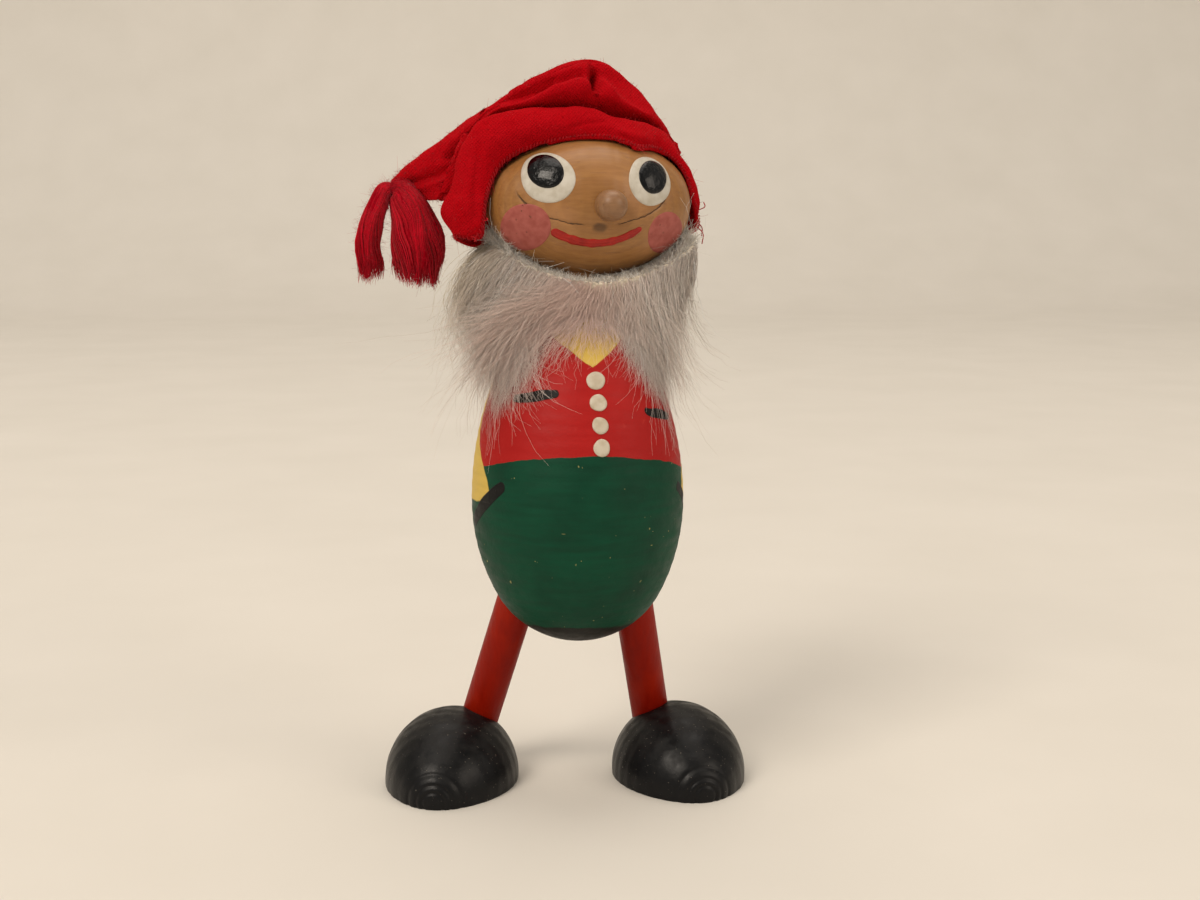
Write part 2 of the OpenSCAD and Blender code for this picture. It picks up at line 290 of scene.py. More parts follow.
def painted_costume():
    """Brushed satin enamel on a turned egg: a red waistcoat over green trousers, with yellow shirt
    front and sleeves and black strokes. The eye reads soft gloss, slightly wavy edges where one
    colour laps another, thin streaks round the turning, and pale flecks where the green has chipped."""
    f = Finish("painted_costume", "#a82420", Specular_IOR_Level=0.18)
    t = f.tree
    spot = add(t, "ShaderNodeSeparateXYZ", [add(t, "ShaderNodeUVMap", uv_map="map").outputs[0]])
    # u holds the azimuth, half a turn either side of the front; v holds the height along the axis
    az = f.node("Math", f.node("Math", spot.outputs[0], 0.5, operation="SUBTRACT"), 360.0,
            operation="MULTIPLY")
    h = f.node("Math", spot.outputs[1], 100.0, operation="MULTIPLY")
    side = f.node("Math", az, operation="ABSOLUTE")
    # the brush wavers by about a quarter of a millimetre
    waver = f.node("Math", f.node("Math", f.grain(5.0, 4.0), 0.5, operation="SUBTRACT"), 1.1,
            operation="MULTIPLY")
    h = f.node("Math", h, waver, operation="ADD")
    azw = f.node("Math", az, f.node("Math", waver, 2.6, operation="MULTIPLY"), operation="ADD")

    def step(value, edge, soft=0.1):
        return f.node("MapRange", value, edge - soft, edge + soft, **SMOOTH)

    def both(a, b):
        return f.node("Math", a, b, operation="MULTIPLY")

    def either(a, b):
        return f.node("Math", a, b, operation="MAXIMUM")

    def stroke(az0, h0, az1, h1, wide, radius):
        """A brush stroke between two places; distances in millimetres on the surface."""
        k = math.radians(1) * radius
        px = f.node("Math", f.node("Math", azw, az0, operation="SUBTRACT"), k, operation="MULTIPLY")
        py = f.node("Math", h, h0, operation="SUBTRACT")
        dx, dy = (az1 - az0) * k, h1 - h0
        along = add(t, "ShaderNodeMath", [f.node("Math",
                f.node("Math", f.node("Math", px, dx, operation="MULTIPLY"),
                       f.node("Math", py, dy, operation="MULTIPLY"), operation="ADD"), dx * dx + dy * dy,
                       operation="DIVIDE"), 0.0],
            operation="ADD", use_clamp=True).outputs[0]
        qx = f.node("Math", px, f.node("Math", along, dx, operation="MULTIPLY"), operation="SUBTRACT")
        qy = f.node("Math", py, f.node("Math", along, dy, operation="MULTIPLY"), operation="SUBTRACT")
        far = f.node("Math", f.node("Math", f.node("Math", qx, qx, operation="MULTIPLY"),
                f.node("Math", qy, qy, operation="MULTIPLY"), operation="ADD"), operation="SQRT")
        belly = f.node("Math", f.node("Math", along, f.node("Math", 1.0, along, operation="SUBTRACT"),
                operation="MULTIPLY"), 1.1, operation="MULTIPLY")
        return f.node("MapRange", f.node("Math", far, belly, operation="SUBTRACT"), wide / 2 - 0.25,
                wide / 2 - 0.1, 1.0, 0.0, **SMOOTH)

    waist = f.node("Math", 34.2, f.node("Math",
            f.node("Math", f.node("Math", az, operation="RADIANS"), operation="COSINE"), 3.9,
            operation="MULTIPLY"), operation="ADD")
    trousers = f.node("MapRange", f.node("Math", waist, h, operation="SUBTRACT"), -0.08, 0.08, **SMOOTH)
    # shirt front: a V whose point is at azimuth 9
    v_side = f.node("Math", f.node("Math", azw, 8.0, operation="SUBTRACT"), operation="ABSOLUTE")
    v_edge = f.node("Math", 54.9, f.node("Math", v_side, 0.185, operation="MULTIPLY"), operation="ADD")
    shirt = both(f.node("MapRange", f.node("Math", h, v_edge, operation="SUBTRACT"), -0.1, 0.1, **SMOOTH),
            f.node("MapRange", v_side, 33.0, 34.0, 1.0, 0.0, **SMOOTH))
    # sleeves: broad at the shoulder, running down into the trouser pockets
    front_edge = f.node("MapRange", h, 30.0, 45.0, 57.0, 81.0, **SMOOTH)
    front_edge = f.node("Math", front_edge, f.node("MapRange", az, -10.0, 10.0, 0.0, 15.0, **SMOOTH),
            operation="ADD")
    wide_side = f.node("Math", side, f.node("Math", waver, 2.0, operation="MULTIPLY"), operation="ADD")
    sleeves = both(f.node("MapRange", f.node("Math", wide_side, front_edge, operation="SUBTRACT"), -0.5,
            0.5, **SMOOTH),
                   both(f.node("MapRange", wide_side, 117.0, 118.0, 1.0, 0.0, **SMOOTH),
                        both(step(h, 29.0, 0.2), f.node("MapRange", h, 57.5, 58.5, 1.0, 0.0, **SMOOTH))))
    strokes = either(either(stroke(-44.0, 49.0, -17.0, 49.9, 1.9, 17.6),
            stroke(43.0, 46.4, 65.0, 45.3, 1.8, 18.4)),
                     either(stroke(-47.5, 32.0, -78.0, 24.9, 2.6, 21.0),
                            stroke(66.0, 31.5, 96.0, 24.4, 2.4, 21.0)))
    sole_cap = f.node("MapRange", f.node("Math", h, waver, operation="ADD"), 4.0, 4.4, 1.0, 0.0, **SMOOTH)

    # each coat varies a little: thin streaks round the turning, and cloudy patches
    streaks = f.grain(3.5, 4.0, stretch=(0.35, 0.35, 3.0))
    clouds = f.grain(14.0, 3.0)
    red = f.node("Mix", {0: streaks, 6: "#9a0f0e", 7: "#b01c19"}, **BLEND)
    red = f.node("Mix", {0: f.node("MapRange", clouds, 0.35, 0.75, **SMOOTH), 6: red, 7: "#a01210"},
            **BLEND)
    red = f.node("Mix", {0: f.node("MapRange", f.grain(1.6, 5.0), 0.62, 0.8, 0.0, 0.35, **SMOOTH), 6: red,
            7: "#bf3a30"}, **BLEND)
    green = f.node("Mix", {0: streaks, 6: "#00301f", 7: "#004a32"}, **BLEND)
    green = f.node("Mix", {0: f.node("MapRange", clouds, 0.4, 0.8, 0.0, 0.6, **SMOOTH), 6: green,
            7: "#002215"}, **BLEND)
    yellow = f.node("Mix", {0: streaks, 6: "#bfa044", 7: "#dcbc62"}, **BLEND)
    black = f.node("Mix", {0: streaks, 6: "#0a0a0a", 7: "#161514"}, **BLEND)
    coat = f.node("Mix", {0: trousers, 6: red, 7: green}, **BLEND)
    # pale flecks where the green has chipped or been splashed
    fleck = both(f.node("MapRange", f.grain(0.9, 1.0, stretch=(1.0, 1.0, 0.7)), 0.74, 0.77, **SMOOTH),
            f.node("MapRange", f.grain(9.0, 2.0), 0.46, 0.6, **SMOOTH))
    scratch = both(f.node("MapRange", f.grain(0.8, 2.0, stretch=(0.3, 0.5, 1.7)), 0.75, 0.78, **SMOOTH),
            f.node("MapRange", f.grain(7.0, 2.0), 0.5, 0.62, **SMOOTH))
    fleck = both(f.node("Math", fleck, scratch, operation="MAXIMUM"), trousers)
    coat = f.node("Mix", {0: f.node("Math", fleck, 0.75, operation="MULTIPLY"), 6: coat, 7: "#b9b06c"},
            **BLEND)
    coat = f.node("Mix", {0: either(shirt, sleeves), 6: coat, 7: yellow}, **BLEND)
    coat = f.node("Mix", {0: strokes, 6: coat, 7: black}, **BLEND)
    coat = f.node("Mix", {0: sole_cap, 6: coat, 7: "#161510"}, **BLEND)
    # grime settles in the thin places
    coat = f.node("Mix", {0: f.node("MapRange", f.grain(0.5, 4.0), 0.6, 0.85, 0.0, 0.25, **SMOOTH),
            6: coat, 7: "#2a1a12"}, **BLEND)
    f.paint(coat)
    f.roughness(f.node("MapRange", f.node("Math", f.node("Math", streaks, 0.5, operation="MULTIPLY"),
            f.node("Math", f.grain(2.0, 5.0), 0.5, operation="MULTIPLY"), operation="ADD"), 0.2, 0.8, 0.4,
            0.66, **SMOOTH))
    edge_of_coats = f.node("Math", f.node("Math", trousers,
            f.node("Math", either(shirt, sleeves), 0.8, operation="MULTIPLY"), operation="ADD"),
            f.node("Math", strokes, 1.6, operation="MULTIPLY"), operation="ADD")
    f.relief((0.10, edge_of_coats), (0.04, streaks), (0.05, f.grain(0.7, 5.0)), (-0.06, fleck))
    return f.material


def lacquered_birch(name="lacquered_birch", light="#aa7942", dark="#84582a"):
    """Birch turned, sanded and clear lacquered: a warm tan, close growth rings that show as faint
    loops round the nose, short brown pores along the grain, and a soft varnish shine."""
    f = Finish(name, light, Specular_IOR_Level=0.35, Coat_Weight=0.18, Coat_Roughness=0.3)
    t = f.tree
    # the head's own axes: centred, and turned with the face
    own = add(t, "ShaderNodeMapping", {0: f.place, "Location": ((HEAD_MID + STAND) * MM).tolist(),
                                       "Rotation": (0, 0, FACE_TURN)}, vector_type="TEXTURE").outputs[0]
    axes = add(t, "ShaderNodeSeparateXYZ", [own])
    wave = f.node("Math", f.node("Math", f.grain(16.0, 2.0, own, (0.35, 1.0, 1.0)), 0.5,
            operation="SUBTRACT"), 0.0022, operation="MULTIPLY")
    depth = f.node("Math", axes.outputs[1], wave, operation="ADD")
    # growth rings 1.3 mm apart, stacked from the face backwards
    ring = f.node("Math", f.node("Math", depth, 0.0013, operation="DIVIDE"), operation="FRACT")
    ring = f.node("Math", f.node("MapRange", ring, 0.0, 0.85, **SMOOTH),
            f.node("MapRange", ring, 0.9, 1.0, 1.0, 0.0, **SMOOTH), operation="MULTIPLY")
    fibre = f.grain(0.55, 4.0, own, (0.09, 1.0, 1.0))
    pores = f.node("MapRange", f.grain(0.42, 2.0, own, (0.12, 1.0, 1.0)), 0.64, 0.74, **SMOOTH)
    wood = f.node("Mix", {0: fibre, 6: dark, 7: light}, **BLEND)
    wood = f.node("Mix", {0: f.node("Math", ring, 0.22, operation="MULTIPLY"), 6: wood, 7: "#74482a"},
            **BLEND)
    wood = f.node("Mix", {0: f.node("Math", pores, 0.35, operation="MULTIPLY"), 6: wood, 7: "#5c3a1e"},
            **BLEND)
    wood = f.node("Mix", {0: f.node("MapRange", f.grain(11.0, 3.0), 0.4, 0.75, 0.0, 0.4, **SMOOTH),
            6: wood, 7: "#b5835a"}, **BLEND)
    # a drying crack follows one ring round the lower face, widest at its right
    waver = f.node("Math", f.node("Math", f.grain(1.5, 3.0, own), 0.5, operation="SUBTRACT"), 0.0008,
            operation="MULTIPLY")
    left = f.node("Math", f.node("Math", axes.outputs[0], 0.0009, operation="ADD"), 0.015,
            operation="DIVIDE")
    up = f.node("Math", f.node("Math", f.node("Math", axes.outputs[2], waver, operation="ADD"), 0.004,
            operation="SUBTRACT"), 0.0078, operation="DIVIDE")
    far = f.node("Math", f.node("Math", f.node("Math", left, left, operation="MULTIPLY"),
            f.node("Math", up, up, operation="MULTIPLY"), operation="ADD"), operation="SQRT")
    off = f.node("Math", f.node("Math", far, 1.0, operation="SUBTRACT"), operation="ABSOLUTE")
    crack = f.node("MapRange", off, 0.004, 0.016, 1.0, 0.0, **SMOOTH)
    for value, low, high, start, end in ((axes.outputs[2], 0.0012, 0.003, 1.0, 0.0),
                                         (axes.outputs[1], -0.003, 0.0, 1.0, 0.0),
                                         (f.node("Math",
                                                 f.node("Math", axes.outputs[0], 0.0002, operation="ADD"),
                                                 operation="ABSOLUTE"), 0.0028, 0.0040, 0.0, 1.0)):
        crack = f.node("Math", crack, f.node("MapRange", value, low, high, start, end, **SMOOTH),
                operation="MULTIPLY")
    wood = f.node("Mix", {0: f.node("Math", crack, 0.85, operation="MULTIPLY"), 6: wood, 7: "#3a2313"},
            **BLEND)
    # a small dark spot of painted shadow just under the nose peg, on the front of the face
    left = f.node("Math", f.node("Math", axes.outputs[0], 0.0004, operation="ADD"), 0.0016,
            operation="DIVIDE")
    up = f.node("Math", f.node("Math", f.node("Math", axes.outputs[2], waver, operation="ADD"), 0.0042,
            operation="ADD"), 0.0010, operation="DIVIDE")
    far = f.node("Math", f.node("Math", f.node("Math", left, left, operation="MULTIPLY"),
            f.node("Math", up, up, operation="MULTIPLY"), operation="ADD"), operation="SQRT")
    spot = f.node("Math", f.node("MapRange", far, 0.5, 1.2, 0.7, 0.0, **SMOOTH),
            f.node("MapRange", axes.outputs[1], -0.003, 0.0, 1.0, 0.0, **SMOOTH), operation="MULTIPLY")
    wood = f.node("Mix", {0: spot, 6: wood, 7: "#3f2510"}, **BLEND)
    f.paint(wood)
    f.roughness(f.node("MapRange", f.grain(3.0, 4.0), 0.2, 0.8, 0.3, 0.5, **SMOOTH))
    f.relief((0.03, fibre), (-0.04, pores), (0.05, f.grain(2.5, 3.0)), (-0.15, crack))
    return f.material


def orange_leg_paint():
    """Orange-red satin enamel brushed along a dowel: long streaks, runs, a little dust and darker
    paint where the coat is thick."""
    f = Finish("orange_leg_paint", "#8c1a04", Specular_IOR_Level=0.12)
    streaks = f.grain(2.2, 4.0, stretch=(1.6, 1.6, 0.22))
    coat = f.node("Mix", {0: streaks, 6: "#780c00", 7: "#961700"}, **BLEND)
    coat = f.node("Mix", {0: f.node("MapRange", f.grain(9.0, 3.0), 0.45, 0.75, 0.0, 0.5, **SMOOTH),
            6: coat, 7: "#a42000"}, **BLEND)
    coat = f.node("Mix", {0: f.node("MapRange", f.grain(0.6, 3.0), 0.68, 0.8, 0.0, 0.5, **SMOOTH),
            6: coat, 7: "#4a0c02"}, **BLEND)
    f.paint(coat)
    f.roughness(f.node("MapRange", streaks, 0.2, 0.8, 0.34, 0.55, **SMOOTH))
    f.relief((0.10, streaks), (0.04, f.grain(0.6, 4.0)))
    return f.material


def black_foot_paint():
    """Satin black enamel over turning rings: a broad soft shine, a rougher grey film that grows lighter
    on the upward faces, and fine scuffs with a few pale specks."""
    f = Finish("black_foot_paint", "#0b0b0c", Specular_IOR_Level=0.22)
    t = f.tree
    up = add(t, "ShaderNodeSeparateXYZ", [add(t, "ShaderNodeNewGeometry").outputs["Normal"]]).outputs[2]
    specks = f.node("MapRange", f.grain(0.45, 1.0), 0.72, 0.78, **SMOOTH)
    # a rougher grey film, lighter on the faces that point up
    haze = f.node("Math", f.node("MapRange", up, 0.1, 1.0, **SMOOTH),
            f.node("MapRange", f.grain(3.0, 5.0), 0.3, 0.8, **SMOOTH), operation="MULTIPLY")
    coat = f.node("Mix", {0: f.grain(6.0, 4.0), 6: "#070708", 7: "#101012"}, **BLEND)
    coat = f.node("Mix", {0: f.node("Math", haze, 0.12, operation="MULTIPLY"), 6: coat, 7: "#4c4945"},
            **BLEND)
    coat = f.node("Mix", {0: f.node("Math", specks, 0.4, operation="MULTIPLY"), 6: coat, 7: "#8f887c"},
            **BLEND)
    f.paint(coat)
    f.roughness(f.node("MapRange", f.node("Math", haze,
            f.node("Math", f.grain(1.5, 4.0), 0.3, operation="MULTIPLY"), operation="ADD"), 0.0, 1.1,
            0.33, 0.62, **SMOOTH))
    f.relief((0.05, f.grain(0.9, 5.0)), (0.06, f.grain(4.0, 3.0)), (0.05, specks))
    return f.material


def drop_paint(name, thin, thick, rough, lumps=0.06, pits=0.0, coat=0.0, shine=0.35):
    """Household gloss laid on as a drop and left to dry: full colour in the middle, thinner at the
    rim, with small lumps and here and there a burst bubble."""
    f = Finish(name, thick, Specular_IOR_Level=shine, Roughness=rough,
               Coat_Weight=coat, Coat_Roughness=0.06)
    layer = f.node("Mix", {0: f.node("MapRange", f.grain(1.8, 4.0), 0.3, 0.7, **SMOOTH), 6: thin,
            7: thick}, **BLEND)
    holes = f.node("MapRange", f.grain(0.8, 1.0), 0.69, 0.75, **SMOOTH)
    if pits:
        layer = f.node("Mix", {0: f.node("Math", holes, 0.7, operation="MULTIPLY"), 6: layer,
                7: "#7c4a34"}, **BLEND)
    f.paint(layer)
    f.relief((lumps, f.grain(1.2, 4.0)), (-pits - 0.001, holes))
    return f.material


costume = painted_costume()
birch = lacquered_birch()
nose_birch = lacquered_birch("end_grain_birch", "#9a7350", "#755437")
leg_enamel = orange_leg_paint()
foot_enamel = black_foot_paint()
white_gloss = drop_paint("white_gloss_drops", "#b6ae9e", "#c6c0b4", 0.42, 0.09)
black_gloss = drop_paint("black_gloss_drops", "#030304", "#050507", 0.16, 0.34, coat=0.3, shine=0.2)
pink_wash = drop_paint("pink_wash", "#96483f", "#a95a51", 0.55, 0.03, 0.22)
red_stroke = drop_paint("red_brush_stroke", "#8e1208", "#a81c10", 0.4, 0.05)
button_white = drop_paint("button_white", "#b6a992", "#c8beac", 0.42, 0.08)

# ---------------------------------------------------------------- body, head and feet

def turn_body():
    h = stations(BODY, 150)
    phi = np.linspace(0, 2 * math.pi, 300, endpoint=False) - math.pi
    hh, aa = np.meshgrid(h, phi, indexing="ij")
    # the chisel leaves the egg a hair out of true, with faint rings near both ends
    rings = 0.035 * np.sin(hh * 2.4) * np.exp(-((hh - 34) / 40) ** 2)
    r = BODY.at(hh) + rings * np.minimum(1, BODY.at(hh) / 8)
    rows = np.stack([r * np.sin(aa), -r * np.cos(aa), hh], -1)
    r = r + 0.10 * wander(rows, 0.06, 3.0)
    rows = np.stack([r * np.sin(aa), -r * np.cos(aa), hh], -1)
    piece = lathe("turned_body", rows, body_place)
    uv = piece.data.uv_layers["map"].data
    flat = np.zeros(len(uv) * 2, np.float32)
    uv.foreach_get("uv", flat)
    flat = flat.reshape(-1, 2)
    flat[:, 1] = np.interp(flat[:, 1], np.linspace(0, 1, len(h)), h) / 100
    uv.foreach_set("uv", flat.ravel())
    return settle(piece, costume, "gnome", "body_paint", "body")


def turn_head():
    h = stations(HEAD, 150)
    phi = np.linspace(0, 2 * math.pi, 320, endpoint=False)
    hh, aa = np.meshgrid(h, phi, indexing="ij")
    r = HEAD.at(hh) + 0.02 * np.sin(hh * 3.1) * np.minimum(1, HEAD.at(hh) / 6)
    # local axes: s along the egg, y back, z up; phi runs from the back over the top to the face
    y, z = r * np.cos(aa), r * np.sin(aa)
    s = hh - HEAD.length / 2
    # the crack follows one growth ring, an ellipse on the face below the eyes
    de = np.hypot((s + 0.9) / 15.0, (z - 4.0) / 7.8)
    lower = np.clip((2.6 - z) / 3.0, 0, 1) * (y < 0)
    crack = np.exp(-(((de - 1) * 8.5) / 0.22) ** 2) * lower
    r = r - 0.22 * crack + 0.05 * wander(np.stack([s, y, z], -1), 0.08, 9.0)
    rows = np.stack([s, r * np.cos(aa), r * np.sin(aa)], -1)
    piece = lathe("turned_head", rows, head_place)
    return settle(piece, birch, "gnome", "bare_wood", "head")


def turn_foot(side, node):
    h = stations(FOOT, 150)
    phi = np.linspace(0, 2 * math.pi, 200, endpoint=False)
    hh, aa = np.meshgrid(h, phi, indexing="ij")
    r = FOOT.at(hh)
    # the lathe centre's rings at the toe: shallow steps round the point
    for at, deep, wide in ((2.3, 0.30, 0.28), (3.7, 0.22, 0.30), (5.6, 0.20, 0.35), (8.2, 0.06, 0.5)):
        near = np.exp(-((r - at) / wide) ** 2) * (hh > FOOT.widest)
        hh = hh - deep * near
    r = r + 0.03 * np.sin(hh * 2.1)
    lateral, up, along = r * np.cos(aa), r * np.sin(aa) + 1.2, FOOT.length / 2 - hh
    r_noise = wander(np.stack([lateral, along, up], -1), 0.09, 5.0 + side)
    up = up + 0.12 * r_noise * (up > 1)
    up = 0.5 * (up + np.sqrt(up**2 + 0.25)) - 0.03 * (up < 0.4)
    up = np.where(up < 0.24, 0.0, up)
    rows = np.stack([lateral, along, up], -1)
    turn, mid = math.radians(11.6) * side, np.array([-2.15 + side * 24.25, 7.8, 0.0])

    def place(p):
        c, s = math.cos(turn), math.sin(turn)
        return np.stack([p[:, 0] * c - p[:, 1] * s, p[:, 0] * s + p[:, 1] * c, p[:, 2]], -1) + mid

    piece = lathe("turned_" + node, rows, place)
    return settle(piece, foot_enamel, "gnome", "foot_paint", node)


turn_body()
turn_head()
turn_foot(1, "foot_left")
turn_foot(-1, "foot_right")


# ---------------------------------------------------------------- painted dabs in relief

def dab(name, surface, outline, height, material, slot, rows=14, seg=72, lift=0.0):
    """A closed drop of paint. outline gives the rim for an angle, surface puts (a, b, lift) in place,
    and height gives the thickness from the middle (0) to the rim (1)."""
    t = np.linspace(0, 2 * math.pi, seg, endpoint=False)
    k = (1 - (1 - np.linspace(0.04, 1, rows)) ** 1.6)
    a, b = outline(t)
    mid = np.array([a.mean(), b.mean()])
    grid = mid + k[:, None, None] * (np.stack([a, b], -1)[None] - mid)
    up = lift + height(k)[:, None] + np.zeros((1, seg))
    up = up * (1 + 0.12 * wander(np.concatenate([grid, up[..., None]], -1), 0.5,
            2.0) * (k[:, None] < 0.97))
    top = surface(grid[..., 0], grid[..., 1], up)
    under = surface(grid[::-1][..., 0], grid[::-1][..., 1], np.full((rows, seg), lift - 0.06))
    return settle(outward(lathe(name, np.concatenate([top, under]), lambda p: p)), material, "gnome",
            slot)


def round_rim(a0, b0, ra, rb, uneven=0.03, seed=0.0, tilt=0.0):
    def rim(t):
        k = 1 + uneven * (np.sin(2 * t + seed) + 0.6 * np.sin(3 * t + 2.1 * seed)
                          + 0.3 * np.sin(5 * t + seed))
        x, y = ra * k * np.cos(t), rb * k * np.sin(t)
        return a0 + x * math.cos(tilt) - y * math.sin(tilt), b0 + x * math.sin(tilt) + y * math.cos(tilt)
    return rim


def flat_drop(thick, power=6):
    return lambda k: thick * np.sqrt(np.clip(1 - k**power, 0, 1))


def domed_drop(thick):
    return lambda k: thick * (0.35 * np.sqrt(np.clip(1 - k**8, 0, 1)) + 0.65 * np.clip(1 - k**2, 0, 1))


made = [
    dab("eye_white_right", on_face, round_rim(-9.9, 5.25, 4.85, 4.85, 0.012, 1.0), flat_drop(0.34),
        white_gloss, "white_paint"),
    dab("eye_white_left", on_face, round_rim(9.95, 4.6, 4.65, 4.65, 0.018, 4.0), flat_drop(0.34),
        white_gloss, "white_paint"),
]
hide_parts("eye_whites")
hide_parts("eye_whites")
made = [
    dab("pupil_right", on_face, round_rim(-10.2, 6.3, 3.2, 3.2, 0.012, 2.0), domed_drop(0.62),
        black_gloss, "black_gloss_paint", lift=0.3),
    dab("pupil_left", on_face, round_rim(10.45, 5.3, 3.05, 3.15, 0.02, 0.5, 0.2), domed_drop(0.6),
        black_gloss, "black_gloss_paint", lift=0.3),
]
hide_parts("pupils")
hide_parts("pupils")
made = [
    dab("cheek_right", on_face, round_rim(-14.0, -4.15, 4.4, 4.55, 0.012, 3.0), flat_drop(0.13, 10),
        pink_wash, "pink_paint"),
    dab("cheek_left", on_face, round_rim(13.8, -5.4, 4.1, 4.2, 0.02, 1.4), flat_drop(0.13, 10), pink_wash,
        "pink_paint"),
]
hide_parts("cheeks")
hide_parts("cheeks")


def paint_mouth():
    """The stroke as a strip: dab() fills towards one middle point, which a bent stroke doesn't suit."""
    n, m = 80, 12
    u = np.linspace(0, 1, n)[:, None]
    v = np.linspace(-1, 1, m)[None, :]
    s0 = -9.5 + 17.6 * u
    z0 = -4.3 - 2.9 * (1 - ((u - 0.48) / 0.52) ** 2)
    slope = 2.9 * 2 * (u - 0.48) / 0.52**2 / 17.6
    half = (0.84 - 0.16 * u) * np.clip(1 - np.abs(2 * u - 1) ** 22, 0.05, 1) ** 0.5
    half = half * (1 + 0.07 * np.sin(u * 31) + 0.05 * np.sin(u * 57 + 1))
    k = 1 / np.sqrt(1 + slope**2)
    s, z = s0 - v * half * slope * k, z0 + v * half * k
    thick = 0.2 * np.sqrt(np.clip(1 - v**4, 0, 1)) * np.clip(1 - np.abs(2 * u - 1) ** 18, 0, 1)
    thick = thick * (1 + 0.2 * np.sin(v * 9 + 0 * u))
    top = on_face(s, z, thick + 0 * s)
    under = on_face(s, z, np.full(s.shape, -0.06))
    ring = np.concatenate([top, under[:, ::-1]], 1)
    return settle(lathe("mouth_stroke", ring, lambda p: p), red_stroke, "gnome", "red_paint", "mouth")


paint_mouth()
for k, (az, h, r) in enumerate(((9.2, 52.4, 1.85), (9.6, 48.2, 1.65), (9.8, 43.9, 1.6),
        (9.9, 39.7, 1.65))):
    spread = math.degrees(1 / BODY.at(h))
    rim = round_rim(0, 0, r, r * (1.0 if k else 0.92), 0.03, 1.7 * k)
    button = dab(f"button_{k + 1}", lambda a, b, lift, az=az, h=h,
            spread=spread: on_body(az + a * spread, h + b, lift),
                 rim, flat_drop(0.3, 5), button_white, "white_paint", seg=48)
    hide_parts("buttons")

for node, finish in (("leg_left", leg_enamel), ("leg_right", leg_enamel), ("neck_dowel", birch),
        ("nose_peg", nose_birch)):
    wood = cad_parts[node]
    wood.data.materials.clear()
    wood.data.materials.append(finish)

# ---------------------------------------------------------------- hat

def spline(knots, t):
    """A smooth curve through knots (first axis), at t from 0 to len - 1."""
    knots = np.asarray(knots, float)
    n = len(knots)
    full = np.concatenate([2 * knots[:1] - knots[1:2], knots, 2 * knots[-1:] - knots[-2:-1]])
    i = np.clip(np.floor(t).astype(int), 0, n - 2)
    f = (t - i).reshape((-1,) + (1,) * (knots.ndim - 1))
    a, b, c, d = full[i], full[i + 1], full[i + 2], full[i + 3]
    return 0.5 * (2 * b + (c - a) * f + (2 * a - 5 * b + 4 * c - d) * f**2 + (3 * b - a - 3 * c + d) * f**3)


# The hat's cage about the head's middle: rings from the hem up. Each runs across the front from the
# gnome's right ear to the left one, as (left, back, up), then goes round behind by (back, up).
HAT_RINGS = [
    # hem
    ([(-27.0, -1.2, -6.0), (-22.2, -4.6, -6.0), (-20.9, -4.6, 1.2), (-17.6, -3.6, 7.9),
      (-10.2, -5.8, 11.6),
      (1.1, -7.6, 13.0), (7.6, -8.4, 11.6), (13.6, -4.4, 10.7), (18.4, -3.0, 7.3), (20.9, -2.4, 1.6),
      (22.7, 0.3, -4.6)], (14.6, -9.5)),
    # the band's fullest line
    ([(-29.3, -0.4, -1.6), (-26.0, -4.6, -1.0), (-24.0, -5.2, 5.6), (-19.8, -5.2, 12.4),
      (-11.3, -7.2, 15.2),
      (0.4, -7.7, 16.0), (7.2, -7.4, 14.4), (13.4, -4.4, 13.3), (18.6, -2.6, 9.4), (21.5, -1.6, 4.0),
      (23.1, 1.0, -0.6)], (16.6, -1.0)),
    # where the band turns in
    ([(-28.5, 0.4, 1.0), (-27.3, -1.4, 4.5), (-25.5, -2.0, 11.0), (-20.9, -2.6, 16.9),
      (-11.5, -4.6, 18.7),
      (-1.0, -5.3, 18.8), (5.5, -4.9, 17.0), (12.0, -2.6, 16.0), (16.4, -0.6, 13.4), (19.8, 0.2, 8.6),
      (21.3, 1.4, 5.0)], (16.6, 7.0)),
    # the bottom of the crease behind the band
    ([(-27.4, 2.4, 1.5), (-26.2, 1.0, 5.0), (-24.2, 1.2, 11.0), (-19.8, 1.2, 15.8), (-11.5, 0.6, 17.0),
      (-1.0, 0.4, 17.2), (5.2, 0.6, 16.0), (11.4, 1.6, 15.4), (15.4, 2.4, 14.4), (17.6, 2.8, 12.4),
      (18.9, 2.6, 10.4)], (15.6, 11.0)),
    # the first fold of the tail over the crown
    ([(-27.8, 2.8, 0.9), (-26.4, 1.7, 6.5), (-23.8, 0.6, 12.8), (-18.6, -1.5, 18.1), (-10.5, -4.2, 20.4),
      (-2.2, -5.4, 22.0), (3.6, -4.6, 20.6), (9.4, -3.5, 18.9), (13.4, -0.8, 17.4), (15.0, 1.8, 17.0),
      (15.6, 3.4, 16.6)], (13.4, 16.0)),
    ([(-28.3, 3.4, 0.9), (-26.8, 2.0, 7.5), (-23.0, 0.6, 14.6), (-17.0, -0.6, 19.9), (-9.2, -1.5, 23.2),
      (-2.4, -2.0, 25.0), (2.6, -1.8, 24.8), (6.2, -0.6, 23.9), (9.0, 0.8, 23.0), (10.2, 1.8, 23.0),
      (10.2, 3.0, 22.9)], (10.5, 20.0)),
    # over the peak
    ([(-29.1, 3.8, 1.0), (-27.0, 2.2, 8.2), (-22.8, 0.8, 15.4), (-16.0, 0.2, 20.9), (-8.6, 0.4, 24.6),
      (-3.2, 0.6, 26.8), (-0.6, 0.9, 27.8), (0.8, 1.3, 28.3), (1.6, 1.7, 28.5), (2.0, 2.1, 28.5),
      (1.8, 2.9, 28.3)], (8.3, 16.0)),
]
